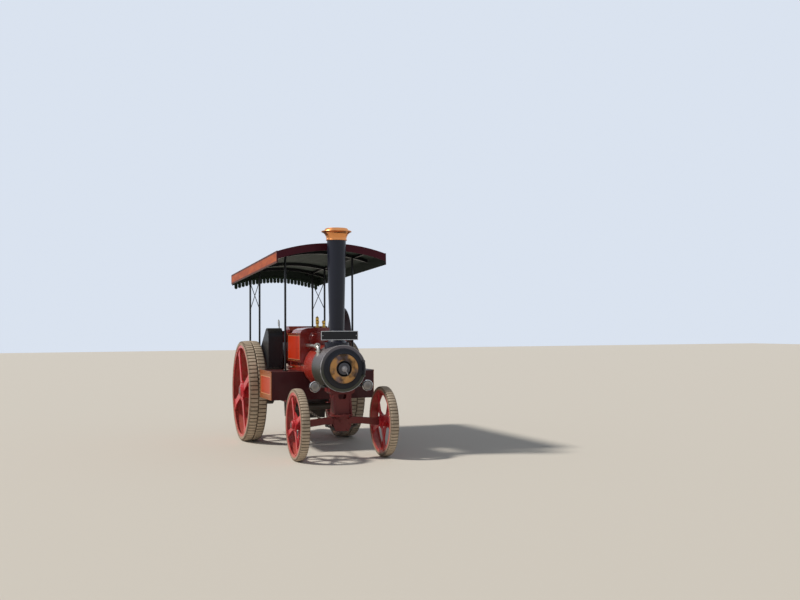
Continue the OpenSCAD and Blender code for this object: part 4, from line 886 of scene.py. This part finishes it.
tank_levels = (tank_floor + 23, tank_top - 23)
tank_posts = spaced(tank_floor + 65, tank_top - 65, 42)
corner_x = tank_half - 24
along, up = plate_rows((tank_front + 26, tank_rear - 26), tank_levels, 44, tank_posts)
side_places, side_ways = both_sides([at(tank_half, along, up)])
front_rows = [at(spaced(-corner_x, corner_x, 44), tank_front, tank_levels[0])]
front_rows += [at(side * spaced(330, corner_x, 44), tank_front, tank_levels[1]) for side in (-1, 1)]
front_rows += [at(side * corner_x, tank_front, tank_posts) for side in (-1, 1)]
front_places = np.concatenate(front_rows)
fit(heads("tank_rivets", np.concatenate([front_places, side_places]),
          np.concatenate([np.tile((0, -1, 0), (len(front_places), 1)), side_ways]), screw, 7), tank_red)


# TENDER AND DRAWBAR
# Riveted plates with a rolled top edge, lined in gold round a brighter panel. The drawbar's jaw is
# black iron, bolted to the rear plate.
tender_half = limits("tender")[0, 1] - 12
tender_front, tender_rear = limits("tender")[1, 0], limits("tender")[1, 1] - 12
tender_low, tender_top = limits("tender")[2]


def tender_lines(f, tone):
    """A gold line round a brighter panel, on both sides and on the back."""
    height = (f.z - tender_low * mm).least((tender_top - 30) * mm - f.z)
    rear = axle_y + tender_rear * mm
    side_edge = height.least(f.y - (axle_y + tender_front * mm), rear - f.y)
    back_edge = height.least(tender_half * mm - f.x, f.x + tender_half * mm)
    on_back = f.outward() * (f.y > rear - 2.5 * mm)
    side_lined = frame_line(side_edge, tone, hue("b02a1a"), 60)
    back_lined = frame_line(back_edge, tone, hue("b02a1a"), 60)
    return on_back.mix(on_side(f, tender_half, 2.5).mix(tone, side_lined), back_lined)


tender_red = enamel("tender_red", hue("84201a"), dust=0.3, gloss=0.28, coat=0.6, lined=tender_lines)
dress("tender", tender_red)
dress("drawbar", iron)
tender_levels = (tender_low + 24, 1020)
tender_posts = spaced(tender_low + 68, tender_top - 60, 45)
along, up = plate_rows((tender_front + 24, tender_rear - 24), tender_levels, 45, tender_posts)
side_places, side_ways = both_sides([at(tender_half, along, up)])
across, up = plate_rows((24 - tender_half, tender_half - 24), tender_levels, 45, tender_posts)
back_places = at(across, tender_rear, up)
fit(heads("tender_rivets", np.concatenate([side_places, back_places]),
          np.concatenate([side_ways, np.tile((0, 1, 0), (len(back_places), 1))]), screw, 7), tender_red)
jaw_half, (jaw_low, jaw_high) = limits("drawbar")[0, 1], limits("drawbar")[2]
jaw_bolts = [at(x, tender_rear + 24, up) for x in (22 - jaw_half, jaw_half - 22)
             for up in (jaw_low + 20, jaw_high - 20)]
fit(heads("drawbar_bolts", jaw_bolts, (0, 1, 0), bolt, 6), iron)


# STEERING
# Chains of forged links run from the axle to a barrel, which a worm turns from the handwheel.
# Every second link stands on edge.
worm_top, handwheel_low = 620, 1360
oily_steel = black_iron("oily_steel", hue("4a4743"), rust=0.35, rough=0.4)
dress("chain_barrel", oily_steel)
dress("chain_hangers", iron)


def column_paint(f, tone):
    """The worm and the rod's lower end are greasy steel, and the handwheel's rim is black."""
    wheel_end = f.z > handwheel_low * mm
    return (f.z < worm_top * mm).mix(wheel_end.mix(tone, hue("1c1b1d")), hue("3d3a36"))


dress("steering_column", enamel("column_red", hue("5e181b"), dust=0.3, gloss=0.35, coat=0.4,
                                lined=column_paint))


def chain(name, start, rise, count, link=72.0, rod=4.5, half_width=17.28, pitch=53.7):
    """Links of round rod along a line that climbs at an angle.

    The parameters are the turn round a link and the turn round its rod. A link's middle line is
    two half circles joined by straights: across is the cosine of the turn times the bend, and
    along is its sine times the bend, plus the straight's half length with the sine's sign.
    """
    turn = ((np.arange(12) + 0.5) * math.pi / 6)[:, None]
    girth = np.arange(6) * math.pi / 3
    bend = half_width - rod + rod * np.cos(girth)
    across = np.cos(turn) * bend
    along = np.sin(turn) * bend + np.sign(np.sin(turn)) * (link / 2 - half_width)
    off = np.broadcast_to(rod * np.sin(girth), across.shape)
    number = np.arange(count)[:, None, None]
    upright = number % 2 == 1
    wide = np.where(upright, -off, across)
    high = np.where(upright, across, off)
    far = link / 2 + number * pitch + along
    c, s = math.cos(rise), math.sin(rise)
    points = at(start[0] + wide, start[1] + far * c - high * s, start[2] + far * s + high * c)
    return surface(name, points, rounded=True, looped=True, sharp=180)


first_link = limits("chain_left")[1, 0]
for end in ("left", "right"):
    pull = next(row["axis"] for row in frame["joints"] if row["name"] == f"{end}_chain_pull")
    lug = (limits(f"chain_{end}")[0].mean(), first_link, pivot("steering")[2])
    links = chain(f"steering_chain_{end}", lug, math.atan2(pull[2], pull[1]), 26)
    fit(links, oily_steel, f"{end}_chain", [f"chain_{end}"])


# CONTROLS AND FITTINGS
# Bright forged levers, turned brass cocks and a gauge with a plain dial on the firebox's back, a
# brass whistle, and a cast feed pump, painted cream, that stands on the tank's right side.
gauge_back, gauge_up = 2176, 1590
pump_x, pump_top = -330, 1300


def fittings_brass():
    """Stained brass, and cream paint on the pump, which lies beyond a place across and below it."""
    f = Finish("fittings_brass")
    stain = f.place.noise(9, 5).rise(0.42, 0.72) * 0.5
    pump = (f.x < pump_x * mm) * (f.z < pump_top * mm)
    f.set("Base Color", pump.mix(stain.mix(hue("c7a04e"), hue("6f5730")), hue("d8d0c0")))
    f.set("Metallic", 1 - pump)
    f.set("Roughness", stain * 0.3 + 0.24)
    f.bump(f.place.noise(90, 3), 0.6, 0.3)
    return f.material


dress("driver_controls", steel)
dress("boiler_fittings", fittings_brass())


def dial_face():
    """White enamel with a ring of ticks over three quarters of a turn, and a black needle."""
    f = Finish("dial_face", Coat_Weight=0.6)
    x, z = f.x, f.z - gauge_up * mm
    r = f.radius(gauge_up)
    angle = x.math("ARCTAN2", x, z)
    tick_angle, tick_end = math.pi / 12, 2.4
    ticks = (angle.wave(tick_angle) > 0.8) * r.between(46 * mm, 57 * mm) * (abs(angle) < tick_end)
    along, across = 0.6, 0.8
    needle = (abs(x * across + z * along) < 1.6 * mm) * ((x * along - z * across) > -12 * mm)
    mark = (ticks + needle * (r < 50 * mm) + (r < 7 * mm)).least(1.0)
    f.set("Base Color", mark.mix(hue("e4e0d4"), hue("1a1a1c")))
    f.set("Roughness", 0.3)
    return f.material


dial_edge = [(64, -0.5), (64, 0.8), (2, 1.2)]
fit(heads("pressure_dial", at(0, gauge_back, gauge_up), (0, 1, 0), dial_edge, 48, 40), dial_face())


# CANOPY
# Tongued boards on bent bows under a skin of tarred canvas, green below, with deep valances that
# are orange inside a brown border on the sides, and dark maroon as painted shade on the ends. It
# drops to the rear.
slope = math.radians(2.1)
eaves_front, eaves_up, roof_length = 407, 2690, 3450
roof_half, roof_rise = limits("canopy_roof")[0, 1], 120
roof_r = (roof_half ** 2 + roof_rise ** 2) / (2 * roof_rise)
valance_half = limits("canopy_valance")[0, 1]
valance_h = 156
dress("canopy_frame", enamel("post_black", hue("121317"), dust=0.08, gloss=0.3, coat=0.2, shine=0.25))


def canvas_over_boards():
    """Tarred canvas on top, and green boards below with a dark joint every 90 millimetres."""
    f = Finish("canopy_boards")
    board_w = 90 * mm
    under = 1 - f.up.rise(-0.4, 0.2)
    groove = (f.x / board_w).math("FRACT", f.x / board_w + 20).between(0.0, 0.06)
    tar = f.place.noise(5, 5).rise(0.3, 0.75).mix(hue("2b2b2d"), hue("47443f"))
    board = f.place.scaled(1, 0.15, 1).noise(12, 5).rise(0.2, 0.8).mix(hue("20302a"), hue("2e4138"))
    f.set("Base Color", under.mix(tar, (groove * 0.7).mix(board, hue("151a18"))))
    f.set("Roughness", 0.7)
    f.bump(f.place.noise(150, 3) - groove * 0.8, 2, 0.5)
    return f.material


dress("canopy_roof", canvas_over_boards())


def valance_lines(f, tone):
    """An orange panel in a brown border on each side, which drops with the roof; green inside."""
    front, rear = (axle_y + back * mm for back in limits("canopy_valance")[1])
    top = (eaves_up + 6) * mm - (f.y - front) * math.tan(slope)
    edge = (top - f.z).least(f.z - (top - valance_h * mm), f.y - front, rear - f.y)
    grain = f.place.scaled(1, 0.3, 1).noise(14, 4)
    orange = grain.rise(0.3, 0.7).mix(hue("94401a"), hue("ad5424"))
    lined = frame_line(edge, hue("4f2016"), orange, 22, hue("5f2c18"), 4)
    inner = 1 - (f.outward() + (f.up > 0.5)).least(1.0)
    return inner.mix(on_side(f, valance_half).mix(tone, lined), hue("2a332e"))


# Painted shade: the valance's ends are a dark maroon.
dress("canopy_valance", enamel("valance_red", hue("4e1a26"), dust=0.05, gloss=0.5, coat=0.0,
                               shine=0.15, lined=valance_lines))


def on_canopy(x, along, up):
    """A place in metres, from millimetres along and up from the canopy's front eaves."""
    c, s = math.cos(slope), math.sin(slope)
    return at(x, eaves_front + along * c + up * s, eaves_up - along * s + up * c)


tongues, hem, gap = 24, 80.0, 5
fringe_half, fringe_r = roof_half - 30, roof_r - 160
tongue_pitch = 2 * fringe_half / tongues


def fringe():
    """Tongues of cloth in a row across the rear.

    The parameters are the place across and the share of the way down. The lower edge follows a
    half circle under each tongue and the band between two tongues, and the cloth waves slightly.
    """
    wide = (tongue_pitch - gap) / 2
    bend = -wide * np.cos(np.linspace(0, math.pi, 9))
    bend[[0, -1]] = 0.6 - wide, wide - 0.6
    local = np.concatenate([[-tongue_pitch / 2, -wide], bend, [wide]])
    in_tongue = np.concatenate([[False, False], np.ones(9, bool), [False]])
    middle = (np.arange(tongues)[:, None] - tongues / 2 + 0.5) * tongue_pitch
    x = np.append((middle + local).ravel(), fringe_half)
    own = np.append(np.broadcast_to(middle, (tongues, local.size)).ravel(), fringe_half)
    drop = np.sqrt(np.maximum(wide ** 2 - (x - own) ** 2, 0))
    arch_middle = roof_rise - roof_r
    round_end = arch_middle + np.sqrt(fringe_r ** 2 - own ** 2) + wide - hem - drop
    band_end = arch_middle + np.sqrt((fringe_r - 3) ** 2 - x ** 2)
    low = np.where(np.append(np.tile(in_tongue, tongues), False), round_end, band_end)
    high = arch_middle + np.sqrt((fringe_r + 33) ** 2 - x ** 2)
    share = np.array([0, 0.15, 0.3, 0.42, 0.55, 0.7, 0.85, 1.0])[:, None]
    long_wave, short_wave = 1.3 * np.sin(x / 21.0), 0.4 * np.sin(x / 7.3 + 1)
    along = roof_length - 3.3 + share * (long_wave + short_wave)
    return surface("rear_fringe", on_canopy(x, along, high + (low - high) * share), sharp=180)


def woven_green():
    """Plain weave: crossing sines a millimetre and a half apart, faded in the folds."""
    f = Finish("fringe_cloth")
    thread = 3 * mm
    weave = abs(f.x.wave(thread)) * 0.5 + abs(f.z.wave(thread)) * 0.5
    faded = f.place.noise(8, 4).rise(0.3, 0.8).mix(hue("1b2a21"), hue("2c3d31"))
    f.set("Base Color", (weave * 0.3).mix(faded, hue("40523f")))
    f.set("Roughness", 0.92)
    f.bump(weave, 0.6, 0.6)
    return f.material


cloth = fit(fringe(), woven_green(), "engine", ["canopy_fringe"])
thick = cloth.modifiers.new("cloth", "SOLIDIFY")
thick.thickness = 2 * mm
thick.offset = 0
# The cloth's flat width and length, its band over the tongues, and a tongue's width, length and
# round end, all in metres.
cloth_w, cloth_l, band_h = 1.4497, 0.113, 0.036
tongue_w, tongue_h = (tongue_pitch - gap) * mm, hem * mm
round_r = tongue_w / 2
tongue_area = tongue_w * (tongue_h - round_r) + math.pi * round_r ** 2 / 2
cloth_area = tongues * tongue_area + cloth_w * band_h

trim_back = spaced(460, 3800, 165)
trim_up = eaves_up - (trim_back - eaves_front) * math.tan(slope)
trim = [at(valance_half, trim_back, trim_up - drop) for drop in (8, 140)]
trim_screw = [(5, -1), (5, 0.8), (2, 1.6)]
fit(heads("valance_screws", *both_sides(trim), trim_screw), brass)


# LAMPS
# A pair of spun steel bowls, painted black, on brackets at the smokebox's sides. Each is closed by
# a pressed glass with rings in it, which a plated rim holds; the glass is opaque, with painted shade and
# sheen.
lamp_r = 72
lamp_x, lamp_up = limits("head_lamps")[0, 1] - lamp_r, limits("head_lamps")[2].mean()
glass_r, bead_r = 61, 55


def lamp_finish():
    """Bowl, rim and glass by their distance from the lamp's own axis; the glass has painted shade towards
    its middle and painted sheen on its rings.
    """
    f = Finish("lamp_plate", Coat_Weight=1.0, Coat_Roughness=0.04)
    x = abs(f.x) - lamp_x * mm
    z = f.z - lamp_up * mm
    r = x.math("SQRT", x * x + z * z)
    glass = f.ahead_of(-12) * (r < glass_r * mm)
    rim = f.ahead_of(-2) * (r > glass_r * mm)
    ripple = r.wave(11 * mm) * 0.5 + 0.5
    # Painted shade and sheen: the opaque glass darkens towards its middle and lightens on its rings.
    deep = 1 - r.rise(10 * mm, 50 * mm)
    pane = (ripple * 0.25).mix(deep.mix(hue("8f8982"), hue("625b57")), hue("bdb8b0"))
    pane = (r > bead_r * mm).mix(pane, hue("2a2828"))
    f.set("Base Color", rim.mix(glass.mix(hue("1d1d20"), pane), hue("e2e0dc")))
    f.set("Metallic", rim * 0.9)
    f.set("Roughness", 0.16 + (1 - rim) * 0.1)
    f.bump(ripple * glass, 2, 0.6)
    return f.material


dress("head_lamps", lamp_finish())


# FLOOR AND LIGHT
# A plain pale floor under an even sky, and one slightly soft sun high on the viewer's left, a
# little behind the front of the engine, as it stood.
far = 60.0
floor_mesh = bpy.data.meshes.new("floor")
floor_mesh.from_pydata([(-far, -far, 0), (far, -far, 0), (far, far, 0), (-far, far, 0)], [], [(0, 1, 2, 3)])
floor = bpy.data.objects.new("floor", floor_mesh)
bpy.context.scene.collection.objects.link(floor)
ground = Finish("floor_paper")
ground.set("Base Color", hue("cfc8bc"))
ground.set("Roughness", 0.9)
floor_mesh.materials.append(ground.material)

# The sky gives little light, but shows at nearly full strength behind the engine and in its metal.
sky_light, sky_shown = 0.32, 0.95
world = bpy.data.worlds.new("sky")
bpy.context.scene.world = world
world.use_nodes = True
sky = Wire(world.node_tree, None)
camera_ray, glossy_ray, clear_ray = (
    sky.node("LightPath", {}, {}, out=f"Is {kind} Ray") for kind in ("Camera", "Glossy", "Transmission"))
seen = (camera_ray + glossy_ray + clear_ray).least(1.0)
backdrop = world.node_tree.nodes["Background"]
backdrop.inputs["Color"].default_value = (*hue("dfe8f5"), 1)
strength = seen.node("Mix", {"data_type": "FLOAT"}, {0: seen, 2: sky_light, 3: sky_shown})
world.node_tree.links.new(strength.socket, backdrop.inputs["Strength"])

sun = bpy.data.lights.new("sun", "SUN")
sun.energy = 3.2
sun.angle = math.radians(6)
sun.color = (1, 0.96, 0.9)
sun_lamp = bpy.data.objects.new("sun", sun)
sun_lamp.location = (-14, 3, 16)
sun_lamp.rotation_euler = (Vector((0, 0, 1)) - sun_lamp.location).to_track_quat("-Z", "Y").to_euler()
bpy.context.scene.collection.objects.link(sun_lamp)

bpy.context.scene.view_settings.view_transform = "Standard"
